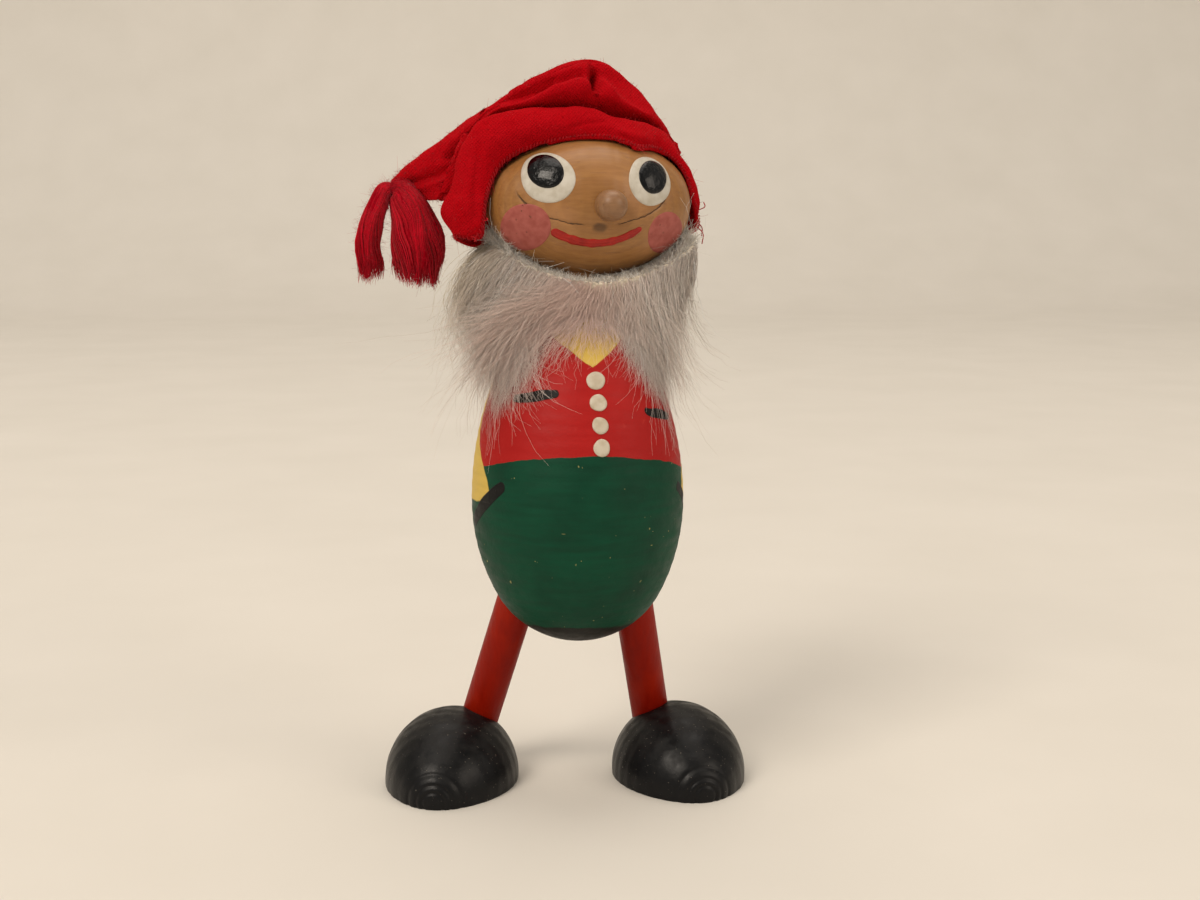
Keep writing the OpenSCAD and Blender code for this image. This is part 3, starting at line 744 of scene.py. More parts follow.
# The tail: (left, up) of its upper and lower edges, how far back it hangs, and half its thickness.
HAT_TAIL = [((-7.8, 26.3), (-29.6, 1.2), 4.4, 3.0), ((-14.9, 22.2), (-30.6, 1.1), 5.4, 2.9),
            ((-21.5, 17.8), (-31.8, 1.1), 6.6, 2.7), ((-28.2, 13.2), (-33.2, 1.9), 7.8, 2.4),
            ((-34.0, 8.9), (-35.2, 3.2), 8.6, 1.8), ((-36.9, 6.2), (-36.9, 4.0), 8.9, 1.1),
            ((-38.3, 5.0), (-38.2, 3.6), 9.0, 0.7)]


def ring_round(front, behind, n):
    """A closed ring through the front knots and round the back, as n points."""
    front = np.asarray(front, float)
    mid, half = (front[-1] + front[0]) / 2, (front[-1] - front[0]) / 2
    a = np.linspace(0, math.pi, 7)[1:-1, None]
    out = np.array([0, behind[0], behind[1]]) - mid * [0, 1, 1]
    back = mid + half * np.cos(a) + out * np.sin(a)
    loop = np.concatenate([front, back])
    m = len(loop)
    full = np.concatenate([loop[-3:], loop, loop[:4]])
    return spline(full, 3 + np.linspace(0, m, n, endpoint=False))


def tail_ring(top, low, back, thick, n):
    """A flattened ring of the tail, laid out like ring_round's rings."""
    ring = np.concatenate([np.linspace(-math.pi, 0, 11), np.linspace(0, math.pi, 7)[1:-1]])
    up = np.cos(ring[:, None] * 1.0)
    mid = np.array([(top[0] + low[0]) / 2, back, (top[1] + low[1]) / 2])
    half = np.array([(top[0] - low[0]) / 2, 0, (top[1] - low[1]) / 2])
    loop = mid + half * up + np.array([0, thick, 0]) * np.sin(ring)[:, None]
    m = len(loop)
    full = np.concatenate([loop[-3:], loop, loop[:4]])
    return spline(full, 3 + np.linspace(0, m, n, endpoint=False))


def near_path(points, path):
    """Distance, seen from the front, from each point to a line through (left, up) places."""
    p = points[..., [0, 2]]
    best = np.full(p.shape[:-1], 1e9)
    for a, b in zip(np.asarray(path, float)[:-1], np.asarray(path, float)[1:]):
        t = np.clip(((p - a) @ (b - a)) / ((b - a) @ (b - a)), 0, 1)
        best = np.minimum(best, np.linalg.norm(p - (a + t[..., None] * (b - a)), axis=-1))
    return best


def grid_normals(grid):
    """Outward normals of a ring grid (rows from the hem, columns round)."""
    du = np.roll(grid, -1, 1) - np.roll(grid, 1, 1)
    dv = np.gradient(grid, axis=0)
    n = np.cross(du, dv)
    return n / np.maximum(np.linalg.norm(n, axis=-1, keepdims=True), 1e-9)


def relax(grid, times):
    """Evens out a ring grid away from its hem."""
    for _ in range(times):
        mean = (np.roll(grid, 1, 1) + np.roll(grid, -1, 1)) / 4
        mean[1:-1] += (grid[2:] + grid[:-2]) / 4
        grid = np.concatenate([grid[:2], 0.5 * grid[2:-1] + 0.5 * mean[2:-1], grid[-1:]])
    return grid


def hat_grid(rows=166, seg=272):
    """The outside of the hat as rings of points about the head's middle, hem first."""
    rings = [ring_round(front, behind, seg) for front, behind in HAT_RINGS]
    rings += [tail_ring(*edge, seg) for edge in HAT_TAIL]
    pace = np.linspace(0, len(rings) - 1, rows)
    grid = relax(spline(np.array(rings), pace), 14)
    n = grid_normals(grid)
    front = np.clip(-n[..., 1] * 2.0, 0, 1)
    tail = np.clip((pace - 3.6) / 0.8, 0, 1)[:, None]

    def crease(path, wide, deep, where=1.0):
        return -deep * np.exp(-(near_path(grid, path) / wide) ** 2) * front * where

    push = crease([(1.6, 27.0), (1.0, 24.5), (0.8, 21.5), (0.5, 19.3)], 1.1, 4.2, tail)
    push += crease([(-2.0, 25.3), (-8.0, 23.6), (-15.0, 19.8), (-21.5, 15.2), (-27.0, 9.6)], 1.0, 1.9,
            tail)
    push -= crease([(-0.4, 22.6), (-3.1, 23.7), (-11.5, 20.9), (-19.5, 17.6), (-24.5, 13.0)], 1.0, 1.3,
            tail)
    push += crease([(-24.0, 9.5), (-29.0, 6.0), (-34.5, 4.2)], 0.9, 0.9, tail)
    push -= crease([(-26.0, 6.4), (-30.0, 4.4), (-34.0, 3.4)], 0.9, 0.5, tail)
    push += crease([(3.4, 25.6), (7.4, 22.0), (10.6, 18.6)], 1.3, 1.2, tail)
    push -= crease([(2.8, 24.0), (4.6, 20.6)], 1.1, 0.9, tail)
    band = 1 - np.clip((pace - 1.9) / 0.5, 0, 1)[:, None]
    push += crease([(-21.3, 15.5), (-22.6, 9.0), (-23.3, 3.0), (-23.6, -2.5)], 0.8, 0.5, band)
    push += crease([(-5.5, 14.6), (-2.0, 15.6), (1.5, 16.1)], 0.35, 0.35, band)
    push += crease([(5.2, 13.2), (7.2, 12.4), (9.8, 11.7)], 0.45, 0.45, band)
    push -= crease([(4.6, 14.4), (8.0, 13.2), (11.5, 12.6)], 0.7, 0.3, band)
    # the loose corner by the gnome's right ear is turned up double
    inside = np.clip((grid[..., 0] + 27.2) / 0.5, 0, 1) * np.clip((1.6 - grid[..., 2]) / 0.6, 0, 1)
    push += 0.55 * inside * front * (grid[..., 0] < -15) * band
    # slack in the cloth, and slight unevenness along the hem
    push += 0.42 * wander(grid, 0.16, 4.0) + 0.22 * wander(grid, 0.42, 8.0)
    push *= np.clip(pace / 0.25, 0.25, 1)[:, None] * np.clip((len(rings) - 1 - pace) / 1.0, 0.1, 1)[:,
            None]
    grid = relax(grid + n * push[..., None], 2)
    # the hem steps down by a millimetre above the gnome's left eye, where it was cut again
    low = np.clip((grid[..., 0] - 6.9) / 0.7, 0, 1) * np.clip((14.0 - grid[..., 0]) / 4.5, 0,
            1) * (grid[..., 1] < 0)
    grid[..., 2] -= 0.95 * low * np.clip(1 - pace / 0.5, 0, 1)[:, None]
    grid[:3, :, 2] += (0.20 * wander(grid[:3], 0.9, 6.0)) * np.array([1.0, 0.6, 0.3])[:, None]
    # nowhere inside the wooden head
    reach = np.hypot(grid[..., 1], grid[..., 2])
    need = HEAD.at(np.clip(grid[..., 0] + HEAD.length / 2, 0, HEAD.length)) + 1.15
    inside = (np.abs(grid[..., 0]) < HEAD.length / 2) & (reach < need)
    scale = np.where(inside, need / np.maximum(reach, 1e-6), 1.0)
    grid[..., 1:] *= scale[..., None]
    return grid


def sew_hat():
    """Cloth 0.8 mm thick with a rounded hem edge, drawn together inside the tassel's knot."""
    outer = hat_grid()
    n = grid_normals(outer)
    rows = len(outer)
    thick = 0.8 * np.clip((rows - 1 - np.arange(rows)) / 40, 0.12, 1)[:, None, None]
    inner = outer - n * thick
    edge = (outer[:1] + inner[:1]) / 2 - 0.35 * dv_unit(outer)
    shell = np.concatenate([inner[::-1][8:], edge, outer])
    piece = outward(lathe("cotton_hat", shell, head_place))
    return outer, n, piece


def dv_unit(grid):
    d = grid[1:2] - grid[:1]
    return d / np.maximum(np.linalg.norm(d, axis=-1, keepdims=True), 1e-9)


def brushed_cotton():
    """Red brushed cotton: a plain weave of about 16 threads to the centimetre under a short nap, so
    the eye sees soft mottling, thread-sized pits, no gloss, and paler lint here and there."""
    f = Finish("brushed_red_cotton", "#b8141c", Roughness=0.92, Specular_IOR_Level=0.06,
               Sheen_Weight=0.10, Sheen_Roughness=0.45, Sheen_Tint=colour("#e0201c"))
    warp = f.node("Math", f.node("Math", add(f.tree, "ShaderNodeSeparateXYZ", [f.place]).outputs[0],
            9000.0, operation="MULTIPLY"), operation="SINE")
    weft = f.node("Math", f.node("Math", add(f.tree, "ShaderNodeSeparateXYZ", [f.place]).outputs[2],
            9000.0, operation="MULTIPLY"), operation="SINE")
    weave = f.node("Math", warp, weft, operation="MULTIPLY")
    nap = f.grain(0.55, 5.0, rough=0.7)
    blotch = f.grain(3.2, 4.0)
    cloth = f.node("Mix", {0: nap, 6: "#8a0008", 7: "#c40412"}, **BLEND)
    cloth = f.node("Mix", {0: f.node("MapRange", blotch, 0.3, 0.7, 0.0, 0.55, **SMOOTH), 6: cloth,
            7: "#ae0814"}, **BLEND)
    cloth = f.node("Mix", {0: f.node("MapRange", f.grain(0.3, 2.0), 0.7, 0.8, 0.0, 0.5, **SMOOTH),
            6: cloth, 7: "#cf2c30"}, **BLEND)
    f.paint(cloth)
    f.relief((0.22, nap), (0.05, weave), (0.25, f.grain(1.3, 3.0)))
    return f.material


# ---------------------------------------------------------------- threads, yarn and fur

def strand_tree():
    """Nodes that turn polylines into tapered tubes; each point's radius is its thick attribute."""
    tree = bpy.data.node_groups.new("strands_to_tubes", "GeometryNodeTree")
    face = tree.interface
    face.new_socket("Strands", in_out="INPUT", socket_type="NodeSocketGeometry")
    face.new_socket("Sides", in_out="INPUT", socket_type="NodeSocketInt")
    face.new_socket("Finish", in_out="INPUT", socket_type="NodeSocketMaterial")
    face.new_socket("Tubes", in_out="OUTPUT", socket_type="NodeSocketGeometry")
    start = add(tree, "NodeGroupInput")
    lines = add(tree, "GeometryNodeMeshToCurve", {"Mesh": start.outputs["Strands"]})
    thick = add(tree, "GeometryNodeInputNamedAttribute", {"Name": "thick"}, data_type="FLOAT")
    sized = add(tree, "GeometryNodeSetCurveRadius",
                {"Curve": lines.outputs[0], "Radius": thick.outputs["Attribute"]})
    circle = add(tree, "GeometryNodeCurvePrimitiveCircle",
            {"Resolution": start.outputs["Sides"], "Radius": 1.0})
    tubes = add(tree, "GeometryNodeCurveToMesh",
            {"Curve": sized.outputs[0], "Profile Curve": circle.outputs[0],
                                                  "Fill Caps": True})
    if "Scale" in tubes.inputs:
        tree.links.new(thick.outputs["Attribute"], tubes.inputs["Scale"])
    whole = add(tree, "GeometryNodeRealizeInstances", {"Geometry": tubes.outputs[0]})
    done = add(tree, "GeometryNodeSetMaterial", {"Geometry": whole.outputs[0],
                                                 "Material": start.outputs["Finish"]})
    end = add(tree, "NodeGroupOutput")
    tree.links.new(done.outputs[0], end.inputs["Tubes"])
    return tree


STRANDS = strand_tree()


def strands(name, paths, thick, shades, material, body, slot, sides=3):
    """Many fibres as one mesh. paths is (n, k, 3) in millimetres, thick (n, k) their radii, and
    shades (n, 3) a linear tint for each fibre."""
    n, k, _ = paths.shape
    mesh = bpy.data.meshes.new(name + "_lines")
    first = (np.arange(n)[:, None] * k + np.arange(k - 1)[None]).ravel()
    mesh.from_pydata(((paths.reshape(-1, 3) + STAND) * MM).tolist(),
            np.stack([first, first + 1], 1).tolist(), [])
    mesh.attributes.new("thick", "FLOAT", "POINT").data.foreach_set("value",
            (thick * MM).astype(np.float32).ravel())
    rgba = np.concatenate([np.repeat(shades, k, 0), np.ones((n * k, 1))], 1).astype(np.float32)
    mesh.attributes.new("shade", "FLOAT_COLOR", "POINT").data.foreach_set("color", rgba.ravel())
    lines = bpy.data.objects.new(name + "_lines", mesh)
    bpy.context.scene.collection.objects.link(lines)
    made = lines.modifiers.new("tubes", "NODES")
    made.node_group = STRANDS
    sockets = {s.name: s.identifier for s in STRANDS.interface.items_tree if s.in_out == "INPUT"}
    made[sockets["Sides"]] = sides
    made[sockets["Finish"]] = material
    view = bpy.context.evaluated_depsgraph_get()
    solid = bpy.data.meshes.new_from_object(lines.evaluated_get(view))
    solid.name = name
    bpy.data.objects.remove(lines)
    bpy.data.meshes.remove(mesh)
    solid.polygons.foreach_set("use_smooth", np.ones(len(solid.polygons), bool))
    piece = bpy.data.objects.new(name, solid)
    bpy.context.scene.collection.objects.link(piece)
    return settle(piece, material, body, slot)


def fibre_finish(name, base, rough=0.6, sheen=0.2, spec=0.35):
    """A fibre's own colour comes from its shade; what is left is a soft silky shine."""
    f = Finish(name, base, Roughness=rough, Specular_IOR_Level=spec, Sheen_Weight=sheen)
    shade = add(f.tree, "ShaderNodeAttribute", attribute_name="shade").outputs["Color"]
    f.paint(add(f.tree, "ShaderNodeMix", {0: 1.0, 6: shade,
            7: f.node("Mix", {0: f.grain(1.1, 3.0), 6: "#dcdcdc", 7: "#ffffff"}, **BLEND)},
                data_type="RGBA", blend_type="MULTIPLY").outputs[2])
    return f.material


def tints(n, codes, spread=0.12):
    """Random linear tints between the given colours."""
    base = np.array([colour(c)[:3] for c in codes])
    w = rng.dirichlet(np.full(len(codes), 0.6), n)
    return (w @ base) * (1 + spread * rng.normal(size=(n, 1)))


def unit(v):
    return v / np.maximum(np.linalg.norm(v, axis=-1, keepdims=True), 1e-9)


outer, outer_n, hat = sew_hat()
red_cotton = brushed_cotton()
settle(hat, red_cotton, "gnome", "red_cotton", "hat")


# ---------------------------------------------------------------- hide and fur

HIDE_R, HIDE_MID = 26.6, np.array([2.6, 19.56])


def hide_edge(x):
    """Height of the hide's upper edge under the chin."""
    return np.minimum(136.51 - np.sqrt(31.3**2 - (x - 3.8) ** 2) - 0.1, 112.0)


def hide_skin(x):
    """How far back the hide's outer side lies."""
    return HIDE_MID[1] - np.sqrt(HIDE_R**2 - (x - HIDE_MID[0]) ** 2) + 1.2


def chin_line(x):
    """Where the strip's turned-in edge meets the wood of the chin."""
    under = head_local(np.stack([x, hide_skin(x), hide_edge(x)], -1))
    s = np.clip(under[:, 0], -19.5, 19.5)
    r = HEAD.at(s + HEAD.length / 2) + 0.15
    a = math.radians(4)
    return head_place(np.stack([s, -r * math.sin(a), -r * math.cos(a)], -1))


def cut_hide():
    """A strip of hide standing round the chin, its rough upper edge turned in to the wood."""
    x = np.linspace(-18.2, 24.0, 260)
    y, z = hide_skin(x), hide_edge(x)
    chin = chin_line(x)
    steps = np.array([0, .3, .6, .85, 1.0])
    tall = 7 - 4.2 * np.clip((x - 19.5) / 4.0, 0, 1)  # cut away towards the gnome's left ear
    front = [np.stack([x, y + 0.3 * (1 - t), z - tall * (1 - t)], -1) for t in steps]
    lip = [np.stack([x, y + 0.25, z + 0.2], -1), np.stack([x, y + 0.75, z + 0.25], -1)]
    ledge = [lip[-1] * (1 - t) + chin * t for t in (0.25, 0.5, 0.75, 1.0)]
    back = [np.stack([x, np.full_like(x, 0) + y + 2.4, z - tall * t], -1) for t in (0.35, 1.0)]
    loop = np.stack(front + lip + ledge + back, 1)
    m = loop.shape[1]
    loop = spline(np.concatenate([loop[:, -2:], loop, loop[:, :3]], 1).transpose(1, 0, 2),
                  2 + np.linspace(0, m, 64, endpoint=False)).transpose(1, 0, 2)
    rough = wander(loop, 1.3, 1.0) * 0.30 + wander(loop, 3.1, 5.0) * 0.22
    near_top = np.clip(1 - np.abs(loop[..., 2] - z[:, None] - 0.2) / 1.5, 0, 1)
    loop[..., 2] += rough * (0.4 + 1.3 * near_top)
    loop[..., 1] += wander(loop, 1.9, 9.0) * 0.35 * near_top
    return settle(outward(lathe("hide_strip", loop, lambda p: p)), suede, "gnome", "hide", "beard_hide")


def clear_of_wood(p, rise):
    """Moves points out of the body and the head; rise is how far above the body they must stay."""
    q = body_local(p)
    h = np.clip(q[..., 2], 0.0, BODY.length)
    need = (BODY.at(h) + rise) * (np.abs(q[..., 2] - BODY.length / 2) < BODY.length / 2 + 1.5)
    reach = np.hypot(q[..., 0], q[..., 1])
    push = np.clip(need - reach, 0, None) / np.maximum(reach, 1e-6)
    p = p + body_place(q * 1.0 + np.stack([q[..., 0] * push, q[..., 1] * push, 0 * push],
            -1)) - body_place(q)
    q = head_local(p)
    need = HEAD.at(np.clip(q[..., 0] + HEAD.length / 2, 0, HEAD.length)) + 0.25
    reach = np.hypot(q[..., 1], q[..., 2])
    inside = (np.abs(q[..., 0]) < HEAD.length / 2) & (reach < need)
    push = np.where(inside, need / np.maximum(reach, 1e-6), 1.0)
    return head_place(np.stack([q[..., 0], q[..., 1] * push, q[..., 2] * push], -1))


# How the fur is combed, by the root's place along the hide: where its fibres head at the root,
# half way and at the tip (degrees from straight down, to the gnome's left), length, and thickness of growth.
COMB = np.array([
    # place   root   half    tip  length  growth
    [-18.5, -58.0,  16.0,  76.0, 19.0, 1.3],
    [-14.0, -36.0,   2.0,  40.0, 24.0, 1.4],
    [-8.0,  -14.0, -16.0,  10.0, 28.0, 1.2],
    [-3.0,  -36.0, -50.0, -24.0, 26.0, 1.0],
    [0.5,   -34.0, -56.0, -36.0, 21.0, 0.6],
    [3.0,   -12.0, -22.0, -10.0, 12.5, 0.26],
    [6.0,     2.0,   4.0,   2.0, 12.0, 0.22],
    [10.0,    6.0,   2.0,   0.0, 17.0, 0.4],
    [15.0,   -2.0, -10.0,  -2.0, 25.0, 0.85],
    [20.0,  -18.0, -28.0,  -4.0, 26.0, 1.05],
    [24.6,  -14.0, -38.0,  10.0, 23.0, 1.6]])


def grow_fur(count, steps=11):
    """Fibres rooted on the hide, combed, curled and drawn into locks, and kept clear of the wood."""
    places = np.linspace(-18.5, 24.6, 400)
    growth = np.cumsum(np.interp(places, COMB[:, 0], COMB[:, 5]))
    x = np.interp(rng.random(count), growth / growth[-1], places)
    x += rng.normal(0, 0.2, count)
    x = np.clip(x, -18.6, 24.8)
    depth = rng.random(count) ** 1.25
    comb = lambda k: np.interp(x, COMB[:, 0], COMB[:, k])
    length = comb(4) * rng.uniform(0.45, 1.08, count) * (1 - 0.15 * depth)
    wisp = rng.random(count) < 0.06
    length = np.where(wisp, length * rng.uniform(1.1, 1.6, count), length)
    p = np.stack([x, hide_skin(x) + 0.1, hide_edge(x) + 0.45 - 6.8 * depth], -1)
    turn = np.arcsin(np.clip((x - HIDE_MID[0]) / HIDE_R, -1, 1))
    out = np.stack([np.sin(turn) * np.where(x > 6, 0.1, 1.0), -np.cos(turn), 0 * x], -1)
    rise = np.interp(x, [-18, -8, 0, 4, 8, 14, 25],
            [3.4, 3.0, 2.0, 0.8, 0.9, 1.7, 1.5]) * rng.random(count) ** 0.8 + 0.12
    rise = np.where(wisp, rise * 0.6, rise)
    sway = rng.normal(0, 21, count)
    phase, wave = rng.uniform(0, 6.28, count), rng.uniform(2.6, 7.0, count)
    curl = rng.uniform(0.2, 1.15, count) * np.interp(x, [-18, -10, 25], [1.5, 1.0, 0.95])
    path = [p]
    step = length / (steps - 1)
    for k in range(1, steps):
        t = (k - 0.5) / (steps - 1)
        lean = np.radians(comb(1) * (1 - t) * (1 - 2 * t) + comb(2) * 4 * t * (1 - t)
                          + comb(3) * t * (2 * t - 1)
                          + sway * (0.3 + t) + 16 * wander(p, 0.16, 3.0))
        away = 0.85 * math.exp(-4.5 * t) + 0.10
        along = np.stack([np.sin(lean), 0 * x, -np.cos(lean)], -1)
        drift = wander(p, 0.3, 12.0)[:, None] * np.array([0.10, 0.25, 0.0])
        go = unit(along + out * (away * (0.4 + rise / 3.2))[:, None] + drift)
        p = clear_of_wood(p + go * step[:, None], rise * min(1.0, 0.3 + 1.4 * t))
        path.append(p)
    paths = np.stack(path, 1)
    t = np.linspace(0, 1, steps)
    arc = length[:, None] * t
    side = np.stack([np.cos(phase), np.sin(phase), 0 * phase], -1)
    bend = (curl[:, None] * t**0.7 * np.sin(arc * 6.28 / wave[:, None] + phase[:, None]))[..., None]
    paths = paths + side[:, None] * bend
    # locks: each fibre is drawn towards the nearest of a few hundred leaders
    lead = rng.choice(count, 300, replace=False)
    seat = np.stack([x, depth * 9], -1)
    near = np.argmin(((seat[:, None] - seat[None, lead]) ** 2).sum(-1), 1)
    pull = (0.42 * t**1.3)[None, :, None] * rng.uniform(0.2, 1.0, (count, 1, 1)) * (~wisp)[:, None, None]
    shift = paths[lead][near] - paths
    far = np.linalg.norm(shift[:, -1], axis=-1)
    paths = paths + shift * pull * (far < 9)[:, None, None]
    flat = clear_of_wood(paths.reshape(-1, 3), 0.12).reshape(paths.shape)
    flat[:, 0] = paths[:, 0]
    thick = rng.uniform(0.028, 0.048, (count, 1)) * (1 - 0.72 * t**1.5)[None]
    # whitest under the chin, yellower at the curly side, a little pink in front
    shade = tints(count, ["#fff8f2", "#e6dcd2", "#f6e6df", "#b9a998", "#ded2c8"], 0.2)
    yellow = np.clip((-12 - x) / 7, 0, 1)[:, None] * rng.random((count, 1))
    shade = shade * (1 - yellow) + np.array(colour("#d8c8a2")[:3]) * yellow
    pink = np.exp(-((x - 2.0) / 8) ** 2)[:, None] * 0.65
    shade = shade * (1 - pink) + np.array(colour("#f4cfc2")[:3]) * pink
    order = np.argsort(x)
    return flat[order], thick[order], np.clip(shade[order], 0, 1)


def hide_nap(count=8600):
    """Short pale fibres all over the hide's turned-in edge, longer and fluffier near the ears."""
    x = rng.uniform(-18.2, 24.6, count)
    w = rng.random(count)[:, None] ** 1.4
    lip = np.stack([x, hide_skin(x) + 0.4, hide_edge(x) + 0.25], -1)
    root = lip * (1 - w) + chin_line(x) * w
    ear = np.clip((np.abs(x - 3.4) - 12.5) / 6.0, 0, 1) * (rng.random(count) < 0.5)
    go = unit(rng.normal(size=(count, 3)) * 0.8 + np.array([0, -0.75, 0.35]) + ear[:,
            None] * np.array([0, -0.2, 0.5]))
    size = rng.uniform(0.45, 1.5, count) + ear * rng.uniform(0.4, 2.6, count)
    size = np.where(rng.random(count) < 0.012, size * 4.0, size)
    t = np.linspace(0, 1, 4)
    bow = unit(rng.normal(size=(count, 3)))
    reach = (size[:, None] * t)[..., None]
    paths = root[:, None] + go[:, None] * reach + bow[:, None] * (0.4 * size[:, None] * t**2)[..., None]
    clear = clear_of_wood(paths.reshape(-1, 3), 0.1).reshape(paths.shape)
    thick = rng.uniform(0.035, 0.06, (count, 1)) * (1 - 0.6 * t)[None]
    strands("hide_edge_fibres", clear, thick, tints(count, ["#fffaf0", "#cfc2ae", "#ffffff"], 0.2),
            fur_fibre, "gnome", "fur")


suede_f = Finish("raw_hide", "#d8c6a2", Roughness=0.9, Specular_IOR_Level=0.2, Sheen_Weight=0.2)
# Raw hide: the cut edge is pale and fibrous, the flesh side soft and slightly mottled.
suede_f.paint(suede_f.node("Mix", {0: suede_f.grain(0.9, 5.0), 6: "#c9bda6", 7: "#efe6d6"}, **BLEND))
suede_f.relief((0.3, suede_f.grain(0.6, 5.0)), (0.2, suede_f.grain(2.0, 3.0)))
suede = suede_f.material
# Long lamb's wool: soft, fine and slightly silky.
fur_fibre = fibre_finish("lambs_wool", "#e6ddd2", 0.55, 0.25, 0.4)
cut_hide()
hide_nap()
fur_paths, fur_thick, fur_shade = grow_fur(11500)
for k, share in enumerate(np.array_split(np.arange(len(fur_paths)), 4)):
    lock = strands(f"beard_fur_{k + 1}", fur_paths[share], fur_thick[share], fur_shade[share],
                   fur_fibre, "gnome", "fur")
    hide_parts("beard_fur")

# ---------------------------------------------------------------- tassel

KNOT = np.array([-38.3, 8.97, 2.4])  # about the head's middle


def lobe_line(knots, t):
    knots = np.asarray(knots, float)
    return spline(knots, np.asarray(t) * (len(knots) - 1))


def yarn_lobe(name, centre, radius, count, seed, node):
    """A hanging lobe of loose wool: a full core, and fibres that lie along it and fray at the end."""
    steps = 15
    t = np.linspace(0, 1, steps)
    line, wide = lobe_line(centre, t), lobe_line(np.asarray(radius, float)[:, None], t)[:, 0]
    ahead = unit(np.gradient(line, axis=0))
    across = unit(np.cross(ahead, [0, 1.0, 0.0]))
    back = np.cross(across, ahead)
    turn = rng.uniform(0, 2 * math.pi, count)
    out = np.sqrt(rng.uniform(0.45, 1.0, count))
    reach = rng.uniform(0.82, 1.04, count)
    tt = np.clip(reach[:, None] * t, 0, 1)
    at = np.stack([np.interp(tt, t, line[:, i]) for i in range(3)], -1)
    ex = np.stack([np.interp(tt, t, across[:, i]) for i in range(3)], -1)
    ey = np.stack([np.interp(tt, t, back[:, i]) for i in range(3)], -1)
    r = np.interp(tt, t, wide) * out[:, None]
    twist = turn[:, None] + 0.5 * tt + 0.25 * np.sin(4 * tt + 3 * turn[:, None])
    paths = at + ex * (r * np.cos(twist))[..., None] + ey * (0.72 * r * np.sin(twist))[..., None]
    sway = np.stack([wander(paths, 0.22, seed + 7 * i) for i in range(3)], -1)
    paths += sway * (0.95 * tt + 0.2)[..., None]
    loose = (np.clip(tt - 0.8, 0, 1) * 5)[..., None] * rng.normal(0, 0.55, (count, 1, 3))
    paths += loose
    thick = rng.uniform(0.07, 0.17, (count, 1)) * (1 - 0.75 * np.clip(t - 0.7, 0, 1) / 0.3)[None]
    paths = head_place(paths)
    strands(name + "_strands", paths, thick, tints(count, ["#b80018", "#980010", "#d00024"], 0.1), wool,
            "tassel", "yarn")
    fuzz_t = rng.uniform(0.05, 0.98, count * 2)
    pick = rng.integers(0, count, count * 2)
    root = np.stack([[np.interp(a, t, paths[i][:, c]) for c in range(3)] for a, i in zip(fuzz_t, pick)])
    go = unit(rng.normal(size=root.shape) + np.array([0, -0.3, -0.4]))
    size = rng.uniform(0.6, 2.2, len(root))
    s = np.linspace(0, 1, 5)
    bow = unit(rng.normal(size=root.shape))
    fine = root[:, None] + go[:, None] * (size[:, None] * s)[..., None] + bow[:,
            None] * (0.5 * size[:, None] * s**2)[..., None]
    strands(name + "_fuzz", fine, np.full((len(root), 5), 0.022) * (1 - 0.5 * s),
            tints(len(root), ["#c22036", "#9b0a1c"]),
            wool, "tassel", "yarn")
    n, m = 60, 96
    u = np.linspace(0, 1, n) * 0.93
    a = np.linspace(0, 2 * math.pi, m, endpoint=False)
    line, wide = lobe_line(centre, u), lobe_line(np.asarray(radius, float)[:, None], u)[:, 0] * 0.86
    ahead = unit(np.gradient(line, axis=0))
    across = unit(np.cross(ahead, [0, 1.0, 0.0]))
    back = np.cross(across, ahead)
    ridge = 1 + 0.07 * np.sin(a * 9 + 2 * u[:, None]) + 0.05 * np.sin(a * 23 + 5 * u[:, None])
    close = np.sqrt(np.clip(1 - (np.clip(u - 0.8, 0, 1) / 0.14) ** 2, 0.02, 1))[:, None]
    rr = wide[:, None] * ridge * close
    rows = line[:, None] + across[:, None] * (rr * np.cos(a))[..., None] + back[:,
            None] * (0.72 * rr * np.sin(a))[..., None]
    rows += 0.4 * wander(rows, 0.25, seed)[..., None] * back[:, None]
    core = outward(lathe(name + "_core", rows, head_place))
    return settle(core, wool_core, "tassel", "yarn", node)


def tie_knot():
    """Thread wound four times round the yarn, and its two short ends."""
    t = np.linspace(0, 1, 90)
    a = 2 * math.pi * 5 * t
    ring = np.stack([1.35 * np.cos(a), 1.25 * np.sin(a), 0.9 * (t - 0.5) * 1.6 + 0.12 * np.sin(3 * a)],
            -1)
    wound = head_place(KNOT + ring + np.array([0, 0, 0.2]))
    strands("knot_winding", np.stack([wound, wound + np.array([0.05, 0.05, 0.22])]),
            np.full((2, 90), 0.24),
            tints(2, ["#7d0a18", "#8f1020"]), wool, "tassel_tie", "thread", 8)
    ends = np.array([[[0, -1.3, 0.2], [-0.8, -2.2, -0.6], [-1.1, -2.6, -1.9], [-0.9, -2.7, -3.2]],
                     [[0.3, -1.3, 0.2], [1.1, -2.1, -0.2], [1.9, -2.4, -1.1], [2.2, -2.6, -2.3]]])
    tails = np.stack([head_place(KNOT + spline(e, np.linspace(0, 3, 12))) for e in ends])
    loose = strands("knot_ends", tails, np.full((2, 12), 0.16), tints(2, ["#7d0a18"]), wool, "tassel_tie",
            "thread", 6)
    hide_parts("tassel_tie")
